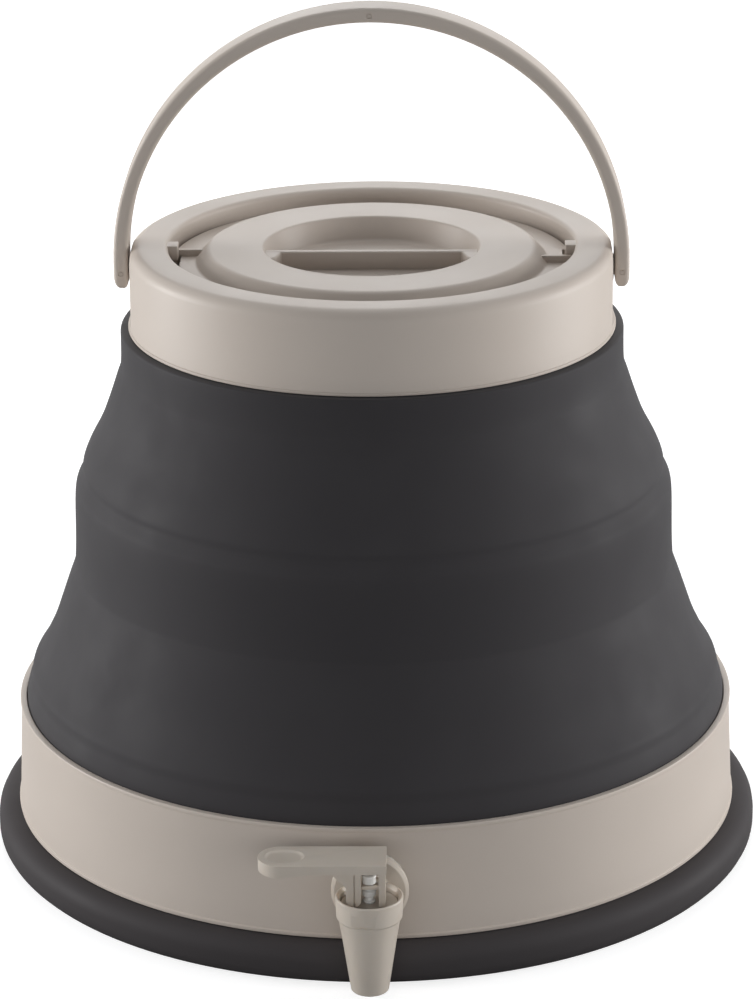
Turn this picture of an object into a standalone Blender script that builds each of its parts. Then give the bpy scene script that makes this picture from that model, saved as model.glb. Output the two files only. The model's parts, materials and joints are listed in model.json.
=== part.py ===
"""Collapsible water carrier: base, folding wall, collar with lid and bail, and a lever tap.

Metres, +Z up. The origin is the middle of the underside, and the tap faces -Y.
"""
import math

import bmesh
import bpy
from mathutils import Vector

# Clearances
GAP = 0.0003
CUT_OVERRUN = 0.0020
WELD = 0.0000005

# Dark pan with its foot rim
FOOT_RADIUS = 0.1500
FOOT_HEIGHT = 0.0148
FOOT_UPPER_ROUND = 0.0062
FOOT_LOWER_ROUND = 0.0050
PAN_FLOOR = 0.0026
PAN_UPSTAND_HEIGHT = 0.0070
PAN_UPSTAND_WALL = 0.0035
PAN_UPSTAND_CLEARANCE = 0.0004
CHANNEL_WIDTH = 0.0046
CHANNEL_WALL = 0.0026
CHANNEL_DEPTH = 0.0110
SEAL_HEIGHT = 0.0024
SEAL_WIDTH = 0.0015

# Light band round the bottom
FOOT_LEDGE = 0.0089
BAND_TAPER = 0.0019
BAND_HEIGHT = 0.0431
BAND_WALL = 0.0020
BAND_RIM_STAND = 0.0005
BAND_RIM_HEIGHT = 0.0014
LEDGE_DEPTH = 0.0079
LEDGE_THICKNESS = 0.0014
LEDGE_WIDTH = 0.0044

# Folding wall
BELLOWS_WALL = 0.0022
BELLOWS_LIP_STAND = 0.0035
BELLOWS_HEIGHT = 0.1483
BELLOWS_LIP_THICKNESS = 0.0030
BELLOWS_LIP_ROUND = 0.0010
BELLOWS_NECK = 0.0112
RING_WALL = 0.0022
LOWER_RING_HEIGHT = 0.0082
UPPER_RING_RISE = 0.0010
UPPER_RING_FLANGE = 0.0016

# Collar
COLLAR_HEIGHT = 0.0316
COLLAR_BOTTOM_RADIUS = 0.0925
COLLAR_TAPER = 0.0003
COLLAR_WALL = 0.0023
COLLAR_ROUND = 0.0045
COLLAR_RIM_STAND = 0.0005
COLLAR_RIM_HEIGHT = 0.0010
COLLAR_SHOULDER = 0.0012
COLLAR_TOP_WIDTH = 0.0153
MOUTH_EDGE_ROUND = 0.0012
MOUTH_WALL = 0.0022
MOUTH_DRAFT = 0.0004
SEAT_DEPTH = 0.0118
SEAT_THICKNESS = 0.0024
SEAT_WIDTH = 0.0086
NECK_SKIRT = 0.0072
FLAT_CUT = 0.0015
FLAT_WIDTH = 0.0350
FLAT_MARGIN = 0.0014
TAB_WIDTH = 0.0070
TAB_REACH = 0.0038
TAB_HEIGHT = 0.0056
TAB_DEPTH_BELOW_TOP = 0.0008
BOSS_RADIUS = 0.0052
BOSS_HEIGHT = 0.0008
PIN_RADIUS = 0.0030
PIN_LENGTH = 0.0038
PIN_CHAMFER = 0.0005

# Bail
PIVOT_BELOW_TOP = 0.0104
BAIL_RISE = 0.0039
BAIL_THICKNESS = 0.0056
BAIL_WIDTH = 0.0150
BAIL_EDGE = 0.0014
BAIL_BORE_DEPTH = 0.0041

# Lid
LID_FLANGE_CLEARANCE = 0.0010
LID_FLANGE = 0.0023
LID_FLANGE_BELOW_TOP = 0.0069
LID_WALL = 0.0023
LID_FLANGE_WIDTH = 0.0095
DOME_SLOPE = 0.0047
DOME_BELOW_TOP = 0.0015
DOME_EDGE = 0.0016
DOME_TOP_WIDTH = 0.0208
CUP_DRAFT = 0.0032
CUP_DEPTH = 0.0091
CUP_EDGE = 0.0010
CUP_FLOOR_ROUND = 0.0018
WEB_THICKNESS = 0.0030
WEB_BELOW_RIM = 0.0022
WEB_SHOULDER_WIDTH = 0.0072
WEB_SHOULDER_LENGTH = 0.0060
WEB_SINK = 0.0005
PLUG_CLEARANCE = 0.0006
PLUG_LENGTH = 0.0087
PLUG_WALL = 0.0022
NOTCH_DEPTH = 0.0036
NOTCH_LENGTH = 0.0158
RIB_THICKNESS = 0.0020
RIB_HEIGHT = 0.0026
STOP_HEIGHT = 0.0016
LOCK_TURN = math.radians(60)
GASKET_WIDTH = 0.0047

# Tap body
TAP_STAND_OFF = 0.01264
TAP_SHANK_RISE = 0.0213
TAP_SHANK_RADIUS = 0.0080
TAP_SHANK_LENGTH = 0.0174
TAP_BORE_RADIUS = 0.0055
TAP_FLANGE_RADIUS = 0.0141
TAP_FLANGE = 0.0030
TAP_GASKET = 0.0026
TAP_GASKET_RADIUS = 0.0132
TAP_FLANGE_EDGE = 0.0008
TAP_NECK_RADIUS = 0.0076
TAP_NECK_DROP = 0.0030
TAP_BORE_STOP = 0.0019
TAP_RIM_RISE = 0.0052
TAP_RIM_RADIUS = 0.0122
TAP_COLLAR_TAPER = 0.0003
TAP_COLLAR_DROP = 0.0082
TAP_STEP = 0.0008
TAP_STEP_DROP = 0.0092
TAP_STEP_TAPER = 0.0009
TAP_CONE_DROP = 0.0146
SPOUT_RADIUS = 0.0068
SPOUT_EDGE = 0.0010
SPOUT_DROP = 0.0376
SPOUT_WALL = 0.0016
TAP_CUP_WALL = 0.0017
CHAMBER_LEDGE = 0.0021
CHAMBER_TOP_DROP = 0.0056
CHAMBER_BOTTOM_DROP = 0.0161
SEAT_DROP = 0.0190
SEAT_RADIUS = 0.0040
THROAT_DROP = 0.0216
THROAT_RADIUS = 0.0046
PORT_RADIUS = 0.0032
PORT_DROP = 0.0103
HOLE_CLEARANCE = 0.0004
NUT_RADIUS = 0.0112
NUT_HEIGHT = 0.0070
INNER_GASKET = 0.0012
INNER_GASKET_RADIUS = 0.0110
INNER_GASKET_SETBACK = 0.0012
SHANK_CLEARANCE = 0.0004

# Tap lever and stem
LEVER_RISE = 0.0149
LEVER_THICKNESS = 0.0032
LEVER_WIDTH = 0.0170
LEVER_RIGHT = 0.0062
LEVER_LEFT = 0.0396
LEVER_EDGE = 0.0008
DISH_RADIUS = 0.0063
DISH_DEPTH = 0.0008
DISH_FROM_END = 0.0095
LEG_WIDTH = 0.0110
FOOT_CENTRE = 0.0055
FOOT_ROUND = 0.00265
GUSSET_REACH = 0.0042
GUSSET_DROP = 0.0068
RIGHT_LEG_THICKNESS = 0.0024
RIGHT_LEG_DROP = 0.0024
WINDOW_RISE = 0.0043
WINDOW_HEIGHT = 0.0052
WINDOW_WIDTH = 0.0066
FORK_RISE = 0.0042
FORK_THICKNESS = 0.0016
FORK_TINE = 0.0014
FORK_REACH = 0.0062
FORK_CLEARANCE = 0.0004
STEM_HEAD_RADIUS = 0.0026
STEM_HEAD = 0.0032
STEM_HEAD_CLEARANCE = 0.0005
STEM_WAIST_RADIUS = 0.0015
STEM_DISC_RADIUS = 0.0024
STEM_DISC = 0.0024
STEM_GROOVE = 0.0004
STEM_SHAFT_RADIUS = 0.0017
STEM_END_DROP = 0.0171
GLAND_THICKNESS = 0.00235
GLAND_BOSS_RADIUS = 0.0062
GLAND_BOSS = 0.0028
STEM_SEAL_RADIUS = 0.0042
STEM_SEAL = 0.0018
TAP_PLUG_RADIUS = 0.0056
TAP_PLUG_HEIGHT = 0.00655
TAP_PLUG_GAP = 0.0004
TAP_PLUG_TIP_RADIUS = 0.0030

# Facets
BODY_SEGMENTS = 48
TAP_SEGMENTS = 20
ROUND_STEPS = 2
BAIL_STEPS = 26
BAIL_END_STEPS = 4
BAIL_END_TURN = math.radians(76)
SHARP_ANGLE = math.radians(32)
BEVELLED_ANGLE = math.radians(40)

# Shape of the folding wall from the band to the collar, bottom to top:
# (share of its height, share of the way from the collar's lip to the band)
WALL_SHARES = (
    (0.000, 1.000), (0.026, 0.993), (0.080, 0.924), (0.116, 0.843), (0.188, 0.724),
    (0.309, 0.572), (0.349, 0.521), (0.383, 0.494), (0.430, 0.482), (0.538, 0.477),
    (0.568, 0.472), (0.592, 0.450), (0.649, 0.372), (0.673, 0.350), (0.720, 0.249),
    (0.754, 0.193), (0.808, 0.122), (0.892, 0.022), (0.909, 0.007), (0.976, 0.000),
)
# Steps of the outer wall to one step of the inner wall
INNER_WALL_STEPS = 2

# Levels, bottom to top
BAND_BOTTOM_Z = FOOT_HEIGHT + GAP
BAND_TOP_Z = BAND_BOTTOM_Z + BAND_HEIGHT
LEDGE_TOP_Z = BAND_TOP_Z - LEDGE_DEPTH
LIP_Z = BAND_TOP_Z + BELLOWS_HEIGHT
COLLAR_BOTTOM_Z = LIP_Z + GAP
COLLAR_TOP_Z = COLLAR_BOTTOM_Z + COLLAR_HEIGHT
NECK_END_Z = LIP_Z + BELLOWS_NECK
RING_FLANGE_Z = NECK_END_Z + GAP
SHOULDER_Z = RING_FLANGE_Z + UPPER_RING_FLANGE + GAP
SEAT_Z = COLLAR_TOP_Z - SEAT_DEPTH
FLANGE_TOP_Z = COLLAR_TOP_Z - LID_FLANGE_BELOW_TOP
FLANGE_BOTTOM_Z = FLANGE_TOP_Z - LID_FLANGE
DOME_TOP_Z = COLLAR_TOP_Z - DOME_BELOW_TOP
CUP_FLOOR_Z = DOME_TOP_Z - CUP_DEPTH
TAB_BOTTOM_Z = COLLAR_TOP_Z - TAB_DEPTH_BELOW_TOP - TAB_HEIGHT
PIVOT_Z = COLLAR_TOP_Z - PIVOT_BELOW_TOP
TAP_SHANK_Z = BAND_BOTTOM_Z + TAP_SHANK_RISE
TAP_RIM_Z = TAP_SHANK_Z + TAP_RIM_RISE
SPOUT_END_Z = TAP_RIM_Z - SPOUT_DROP
SEAT_RING_Z = TAP_RIM_Z - SEAT_DROP
STEM_END_Z = TAP_RIM_Z - STEM_END_DROP
GLAND_BOTTOM_Z = TAP_RIM_Z - CHAMBER_TOP_DROP + GAP
GLAND_TOP_Z = GLAND_BOTTOM_Z + GLAND_THICKNESS
RIGHT_LEG_BOTTOM_Z = TAP_RIM_Z - RIGHT_LEG_DROP
LEVER_PIVOT_Z = GLAND_TOP_Z + GAP + FOOT_ROUND
FORK_TOP_Z = TAP_RIM_Z + FORK_RISE
WINDOW_BOTTOM_Z = TAP_RIM_Z + WINDOW_RISE
LEVER_TOP_Z = TAP_RIM_Z + LEVER_RISE
LEVER_BOTTOM_Z = LEVER_TOP_Z - LEVER_THICKNESS

# Radii and reaches
BAND_BOTTOM_RADIUS = FOOT_RADIUS - FOOT_LEDGE
BAND_TOP_RADIUS = BAND_BOTTOM_RADIUS - BAND_TAPER
BELLOWS_FOOT_RADIUS = BAND_TOP_RADIUS - BAND_WALL - GAP
BELLOWS_LIP_RADIUS = COLLAR_BOTTOM_RADIUS + BELLOWS_LIP_STAND
BELLOWS_NECK_RADIUS = COLLAR_BOTTOM_RADIUS - COLLAR_WALL - GAP
LOWER_RING_RADIUS = BELLOWS_FOOT_RADIUS - BELLOWS_WALL - GAP
UPPER_RING_RADIUS = BELLOWS_NECK_RADIUS - BELLOWS_WALL - GAP
COLLAR_TOP_RADIUS = COLLAR_BOTTOM_RADIUS - COLLAR_TAPER
MOUTH_RADIUS = COLLAR_BOTTOM_RADIUS - COLLAR_TOP_WIDTH
NECK_BORE_RADIUS = MOUTH_RADIUS - SEAT_WIDTH
FLANGE_RADIUS = MOUTH_RADIUS - LID_FLANGE_CLEARANCE
PLUG_RADIUS = NECK_BORE_RADIUS - PLUG_CLEARANCE
DOME_SKIRT_RADIUS = FLANGE_RADIUS - LID_FLANGE_WIDTH
DOME_RADIUS = DOME_SKIRT_RADIUS - DOME_SLOPE
CUP_RADIUS = DOME_RADIUS - DOME_TOP_WIDTH
CUP_FLOOR_RADIUS = CUP_RADIUS - CUP_DRAFT
TAP_COLLAR_RADIUS = TAP_RIM_RADIUS - TAP_COLLAR_TAPER
TAP_STEP_RADIUS = TAP_COLLAR_RADIUS - TAP_STEP
TAP_CONE_RADIUS = TAP_STEP_RADIUS - TAP_STEP_TAPER
CUP_BORE_RADIUS = TAP_RIM_RADIUS - TAP_CUP_WALL
CHAMBER_RADIUS = CUP_BORE_RADIUS - CHAMBER_LEDGE
FLAT_HALF_SPAN = COLLAR_BOTTOM_RADIUS - FLAT_CUT
BOSS_FACE = FLAT_HALF_SPAN + BOSS_HEIGHT
BAIL_INNER_FACE = BOSS_FACE + GAP
BAIL_CENTRE_RADIUS = BAIL_INNER_FACE + BAIL_THICKNESS / 2


def band_radius(height):
    """Outer radius of the light band's wall at a height."""
    share = (height - BAND_BOTTOM_Z) / BAND_HEIGHT
    return BAND_BOTTOM_RADIUS + (BAND_TOP_RADIUS - BAND_BOTTOM_RADIUS) * share


TAP_FLANGE_BACK = band_radius(TAP_SHANK_Z) + GAP + TAP_GASKET + GAP
TAP_FLANGE_FRONT = TAP_FLANGE_BACK + TAP_FLANGE
TAP_OUT = TAP_FLANGE_FRONT + TAP_STAND_OFF
TAP_SHANK_END = TAP_FLANGE_BACK - TAP_SHANK_LENGTH
INNER_GASKET_FRONT = band_radius(TAP_SHANK_Z) - BAND_WALL - INNER_GASKET_SETBACK
NUT_FRONT = INNER_GASKET_FRONT - INNER_GASKET - GAP


def linear(hex_colour):
    """A colour written as sRGB hex, as linear values."""
    values = [int(hex_colour[start:start + 2], 16) / 255 for start in (0, 2, 4)]
    return [v / 12.92 if v <= 0.04045 else ((v + 0.055) / 1.055) ** 2.4 for v in values] + [1.0]


def material(name, hex_colour, roughness, transmission=0.0):
    result = bpy.data.materials.new(name)
    result.use_nodes = True
    shader = result.node_tree.nodes["Principled BSDF"]
    shader.inputs["Base Color"].default_value = linear(hex_colour)
    shader.inputs["Roughness"].default_value = roughness
    shader.inputs["Transmission Weight"].default_value = transmission
    result.diffuse_color = linear(hex_colour)
    return result


def outline(*corners):
    """Corners as (across, up) or (across, up, fillet), each fillet as a short arc."""
    points = []
    for index, corner in enumerate(corners):
        here = Vector(corner[:2])
        if len(corner) == 2:
            points.append(here)
            continue
        fillet = corner[2]
        before = (Vector(corners[index - 1][:2]) - here).normalized()
        after = (Vector(corners[(index + 1) % len(corners)][:2]) - here).normalized()
        half = before.angle(after) / 2
        centre = here + (before + after).normalized() * (fillet / math.sin(half))
        first = here + before * (fillet / math.tan(half)) - centre
        last = here + after * (fillet / math.tan(half)) - centre
        start = math.atan2(first.y, first.x)
        turn = math.atan2(last.y, last.x) - start
        turn = (turn + math.pi) % math.tau - math.pi
        for step in range(ROUND_STEPS + 1):
            angle = start + turn * step / ROUND_STEPS
            points.append(centre + Vector((math.cos(angle), math.sin(angle))) * fillet)
    return points


def add_object(name, mesh_data, surface):
    """Close a bmesh into a named object with its faces outwards."""
    bmesh.ops.remove_doubles(mesh_data, verts=mesh_data.verts, dist=WELD)
    bmesh.ops.recalc_face_normals(mesh_data, faces=mesh_data.faces)
    mesh = bpy.data.meshes.new(name)
    mesh_data.to_mesh(mesh)
    mesh_data.free()
    mesh.shade_smooth()
    mesh.set_sharp_from_angle(angle=SHARP_ANGLE)
    if surface:
        mesh.materials.append(surface)
    result = bpy.data.objects.new(name, mesh)
    bpy.context.scene.collection.objects.link(result)
    return result


def turned(name, points, surface=None, segments=BODY_SEGMENTS):
    """An outline of (radius, height) points turned once round Z."""
    mesh_data = bmesh.new()
    verts = [mesh_data.verts.new((point[0], 0, point[1])) for point in points]
    pairs = list(zip(verts, verts[1:] + verts[:1]))
    edges = [mesh_data.edges.new(pair) for pair in pairs if pair[0].co.x or pair[1].co.x]
    bmesh.ops.spin(
        mesh_data, geom=verts + edges, cent=(0, 0, 0), axis=(0, 0, 1), dvec=(0, 0, 0),
        angle=math.tau, steps=segments, use_merge=True, use_duplicate=False,
    )
    return add_object(name, mesh_data, surface)


def prism(name, points, start, end, surface=None, axes=(0, 2, 1)):
    """A flat outline drawn out from start to end; axes are those of across, up and the length."""
    mesh_data = bmesh.new()
    rings = []
    for length in (start, end):
        ring = []
        for point in points:
            place = [0, 0, 0]
            place[axes[0]] = point[0]
            place[axes[1]] = point[1]
            place[axes[2]] = length
            ring.append(mesh_data.verts.new(place))
        mesh_data.faces.new(ring)
        rings.append(ring)
    for index in range(len(points)):
        following = (index + 1) % len(points)
        side = (rings[0][index], rings[0][following], rings[1][following], rings[1][index])
        mesh_data.faces.new(side)
    return add_object(name, mesh_data, surface)


def block(name, low, high, surface=None):
    """A box between two corners."""
    corners = [(low[0], low[2]), (high[0], low[2]), (high[0], high[2]), (low[0], high[2])]
    return prism(name, corners, low[1], high[1], surface)


def along_tap(piece, turn=0.0):
    """Tip a turned piece so that its height runs forwards along the tap's shank."""
    piece.rotation_euler = (math.radians(90), turn, 0)
    piece.location.z = TAP_SHANK_Z
    return piece


def at_tap(piece):
    """Stand a turned piece on the tap's upright axis."""
    piece.location.y = -TAP_OUT
    return piece


def combine(target, tool, operation):
    """Add or cut with a tool that stays in the file as a guide."""
    modifier = target.modifiers.new(operation.lower() + "_" + tool.name, "BOOLEAN")
    modifier.operation = operation
    modifier.solver = "EXACT"
    modifier.object = tool
    tool.hide_render = True
    tool.display_type = "WIRE"


def join(target, tool):
    combine(target, tool, "UNION")


def cut(target, tool):
    combine(target, tool, "DIFFERENCE")


def make_base_pan(surface):
    flat_edge = FOOT_RADIUS - FOOT_LOWER_ROUND
    channel_outer = flat_edge - CHANNEL_WALL
    channel_inner = channel_outer - CHANNEL_WIDTH
    upstand_top = FOOT_HEIGHT + PAN_UPSTAND_HEIGHT
    outer = band_radius(upstand_top) - BAND_WALL - PAN_UPSTAND_CLEARANCE
    inner = outer - PAN_UPSTAND_WALL
    seal_low, seal_high, seal_inner, _ = seal_limits()
    return turned("base_pan", outline(
        (0, 0),
        (channel_inner, 0),
        (channel_inner, CHANNEL_DEPTH),
        (channel_outer, CHANNEL_DEPTH),
        (channel_outer, 0),
        (FOOT_RADIUS, 0, FOOT_LOWER_ROUND),
        (FOOT_RADIUS, FOOT_HEIGHT, FOOT_UPPER_ROUND),
        (outer, FOOT_HEIGHT),
        (outer, seal_low - GAP),
        (seal_inner - GAP, seal_low - GAP),
        (seal_inner - GAP, seal_high + GAP),
        (outer, seal_high + GAP),
        (outer, upstand_top),
        (inner, upstand_top),
        (inner, PAN_FLOOR),
        (0, PAN_FLOOR),
    ), surface)


def seal_limits():
    """Bottom, top, inner and outer radius of the ring between the pan and the band."""
    low = FOOT_HEIGHT + (PAN_UPSTAND_HEIGHT - SEAL_HEIGHT) / 2
    high = low + SEAL_HEIGHT
    outer = band_radius(high) - BAND_WALL - GAP
    return low, high, outer - SEAL_WIDTH, outer


def make_base_seal(surface):
    low, high, inner, outer = seal_limits()
    return turned("base_seal", [(inner, low), (outer, low), (outer, high), (inner, high)], surface)


def make_base_band(surface):
    lower_rim = BAND_BOTTOM_Z + BAND_RIM_HEIGHT
    upper_rim = BAND_TOP_Z - BAND_RIM_HEIGHT
    ledge_bottom = LEDGE_TOP_Z - LEDGE_THICKNESS
    ledge_edge = band_radius(LEDGE_TOP_Z) - BAND_WALL - LEDGE_WIDTH
    band = turned("base_band", [
        (BAND_BOTTOM_RADIUS + BAND_RIM_STAND, BAND_BOTTOM_Z),
        (BAND_BOTTOM_RADIUS + BAND_RIM_STAND, lower_rim),
        (band_radius(lower_rim), lower_rim),
        (band_radius(upper_rim), upper_rim),
        (BAND_TOP_RADIUS + BAND_RIM_STAND, upper_rim),
        (BAND_TOP_RADIUS + BAND_RIM_STAND, BAND_TOP_Z),
        (BAND_TOP_RADIUS - BAND_WALL, BAND_TOP_Z),
        (band_radius(LEDGE_TOP_Z) - BAND_WALL, LEDGE_TOP_Z),
        (ledge_edge, LEDGE_TOP_Z),
        (ledge_edge, ledge_bottom),
        (band_radius(ledge_bottom) - BAND_WALL, ledge_bottom),
        (BAND_BOTTOM_RADIUS - BAND_WALL, BAND_BOTTOM_Z),
    ], surface)
    hole = TAP_SHANK_RADIUS + HOLE_CLEARANCE
    cut(band, along_tap(turned("tap_hole", [
        (0, TAP_SHANK_END),
        (hole, TAP_SHANK_END),
        (hole, TAP_FLANGE_FRONT),
        (0, TAP_FLANGE_FRONT),
    ], segments=TAP_SEGMENTS)))
    return band


def make_bellows(surface):
    spread = BELLOWS_FOOT_RADIUS - BELLOWS_LIP_RADIUS
    wall = [
        (BELLOWS_LIP_RADIUS + spread * across, BAND_TOP_Z + BELLOWS_HEIGHT * up)
        for up, across in WALL_SHARES
    ]
    inner_wall = [(radius - BELLOWS_WALL, height) for radius, height in wall[::INNER_WALL_STEPS]]
    foot = LEDGE_TOP_Z + GAP
    inner_neck = BELLOWS_NECK_RADIUS - BELLOWS_WALL
    lip_edge = (BELLOWS_LIP_RADIUS - BELLOWS_LIP_ROUND, LIP_Z)
    upper = [
        lip_edge,
        (BELLOWS_NECK_RADIUS, LIP_Z),
        (BELLOWS_NECK_RADIUS, NECK_END_Z),
        (inner_neck, NECK_END_Z),
        (inner_neck, LIP_Z - BELLOWS_LIP_THICKNESS),
    ]
    lower = [(BELLOWS_FOOT_RADIUS - BELLOWS_WALL, foot), (BELLOWS_FOOT_RADIUS, foot)]
    return turned("bellows", wall + upper + inner_wall[::-1] + lower, surface)


def make_lower_ring(surface):
    inner = LOWER_RING_RADIUS - RING_WALL
    low = LEDGE_TOP_Z + GAP
    high = low + LOWER_RING_HEIGHT
    return turned("lower_retaining_ring", [
        (LOWER_RING_RADIUS, low),
        (LOWER_RING_RADIUS, high),
        (inner, high),
        (inner, low),
    ], surface)


def make_upper_ring(surface):
    inner = UPPER_RING_RADIUS - RING_WALL
    top = RING_FLANGE_Z + UPPER_RING_FLANGE
    return turned("upper_retaining_ring", [
        (UPPER_RING_RADIUS, LIP_Z + UPPER_RING_RISE),
        (UPPER_RING_RADIUS, RING_FLANGE_Z),
        (BELLOWS_NECK_RADIUS, RING_FLANGE_Z),
        (BELLOWS_NECK_RADIUS, top),
        (inner, top),
        (inner, LIP_Z + UPPER_RING_RISE),
    ], surface)


def make_top_collar(surface):
    rim = COLLAR_BOTTOM_RADIUS + COLLAR_RIM_STAND
    rim_top = COLLAR_BOTTOM_Z + COLLAR_RIM_HEIGHT
    wall_inner = COLLAR_BOTTOM_RADIUS - COLLAR_WALL
    channel_outer = wall_inner - COLLAR_SHOULDER
    channel_inner = MOUTH_RADIUS + MOUTH_WALL
    channel_top = COLLAR_TOP_Z - COLLAR_WALL
    seat_bottom = SEAT_Z - SEAT_THICKNESS
    skirt_outer = NECK_BORE_RADIUS + MOUTH_WALL
    skirt_bottom = seat_bottom - NECK_SKIRT
    collar = turned("top_collar", outline(
        (rim, COLLAR_BOTTOM_Z),
        (rim, rim_top),
        (COLLAR_BOTTOM_RADIUS, rim_top),
        (COLLAR_TOP_RADIUS, COLLAR_TOP_Z, COLLAR_ROUND),
        (MOUTH_RADIUS, COLLAR_TOP_Z, MOUTH_EDGE_ROUND),
        (MOUTH_RADIUS - MOUTH_DRAFT, SEAT_Z),
        (NECK_BORE_RADIUS, SEAT_Z),
        (NECK_BORE_RADIUS, skirt_bottom),
        (skirt_outer, skirt_bottom),
        (skirt_outer, seat_bottom),
        (channel_inner, seat_bottom),
        (channel_inner, channel_top),
        (channel_outer, channel_top),
        (channel_outer, SHOULDER_Z),
        (wall_inner, SHOULDER_Z),
        (wall_inner, COLLAR_BOTTOM_Z),
    ), surface)
    pin_end = BOSS_FACE + PIN_LENGTH
    tab_root = MOUTH_RADIUS + MOUTH_WALL / 2
    for name, side in (("left", -1), ("right", 1)):
        flat = block(
            name + "_flat",
            (side * FLAT_HALF_SPAN, -FLAT_WIDTH / 2, rim_top + FLAT_MARGIN),
            (side * (rim + CUT_OVERRUN), FLAT_WIDTH / 2, COLLAR_TOP_Z + CUT_OVERRUN),
        )
        cut(collar, flat)
        root = (channel_outer + FLAT_HALF_SPAN) / 2
        pin = turned(name + "_pivot", [
            (0, root),
            (BOSS_RADIUS, root),
            (BOSS_RADIUS, BOSS_FACE),
            (PIN_RADIUS, BOSS_FACE),
            (PIN_RADIUS, pin_end - PIN_CHAMFER),
            (PIN_RADIUS - PIN_CHAMFER, pin_end),
            (0, pin_end),
        ], segments=TAP_SEGMENTS)
        pin.rotation_euler.y = side * math.radians(90)
        pin.location.z = PIVOT_Z
        join(collar, pin)
        tab = block(
            name + "_tab",
            (side * (MOUTH_RADIUS - TAB_REACH), -TAB_WIDTH / 2, TAB_BOTTOM_Z),
            (side * tab_root, TAB_WIDTH / 2, TAB_BOTTOM_Z + TAB_HEIGHT),
        )
        join(collar, tab)
    return collar


def bail_section(centre, outward, half_width):
    """Points round one section of the bail's strip, with rounded edges."""
    edge = min(BAIL_EDGE, half_width / 2)
    corners = outline(
        (-BAIL_THICKNESS / 2, -half_width, edge),
        (BAIL_THICKNESS / 2, -half_width, edge),
        (BAIL_THICKNESS / 2, half_width, edge),
        (-BAIL_THICKNESS / 2, half_width, edge),
    )
    return [(
        centre.x + outward.x * across,
        along,
        centre.y + outward.y * across,
    ) for across, along in corners]


def bail_sections():
    """Sections from the left end, over the top, to the right end, about the pivot."""
    end_radius = BAIL_WIDTH / 2
    left = []
    right = []
    for step in range(BAIL_END_STEPS):
        angle = BAIL_END_TURN * (1 - step / BAIL_END_STEPS)
        drop = -end_radius * math.sin(angle)
        half_width = end_radius * math.cos(angle)
        left.append(bail_section(Vector((-BAIL_CENTRE_RADIUS, drop)), Vector((-1, 0)), half_width))
        right.append(bail_section(Vector((BAIL_CENTRE_RADIUS, drop)), Vector((1, 0)), half_width))
    over = []
    for step in range(BAIL_STEPS + 1):
        angle = math.pi * (1 - step / BAIL_STEPS)
        outward = Vector((math.cos(angle), math.sin(angle)))
        centre = outward * BAIL_CENTRE_RADIUS + Vector((0, BAIL_RISE))
        over.append(bail_section(centre, outward, end_radius))
    return left + over + right[::-1]


def make_handle(surface):
    mesh_data = bmesh.new()
    rings = [[mesh_data.verts.new(point) for point in ring] for ring in bail_sections()]
    for ring, following in zip(rings, rings[1:]):
        for index in range(len(ring)):
            side = (index + 1) % len(ring)
            mesh_data.faces.new((ring[index], ring[side], following[side], following[index]))
    mesh_data.faces.new(rings[0])
    mesh_data.faces.new(rings[-1])
    handle = add_object("handle", mesh_data, surface)
    handle.location.z = PIVOT_Z
    bore_end = BAIL_INNER_FACE + BAIL_BORE_DEPTH
    bore_radius = PIN_RADIUS + GAP
    for name, side in (("left", -1), ("right", 1)):
        bore = turned(name + "_bore", [
            (0, BAIL_INNER_FACE - CUT_OVERRUN),
            (bore_radius, BAIL_INNER_FACE - CUT_OVERRUN),
            (bore_radius, bore_end),
            (0, bore_end),
        ], segments=TAP_SEGMENTS)
        bore.rotation_euler.y = side * math.radians(90)
        bore.location.z = PIVOT_Z
        cut(handle, bore)
    return handle


def make_lid_gasket(surface):
    inner = PLUG_RADIUS + GAP
    low = SEAT_Z + GAP
    high = FLANGE_BOTTOM_Z - GAP
    outer = inner + GASKET_WIDTH
    points = [(inner, low), (outer, low), (outer, high), (inner, high)]
    return turned("lid_gasket", points, surface)


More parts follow.
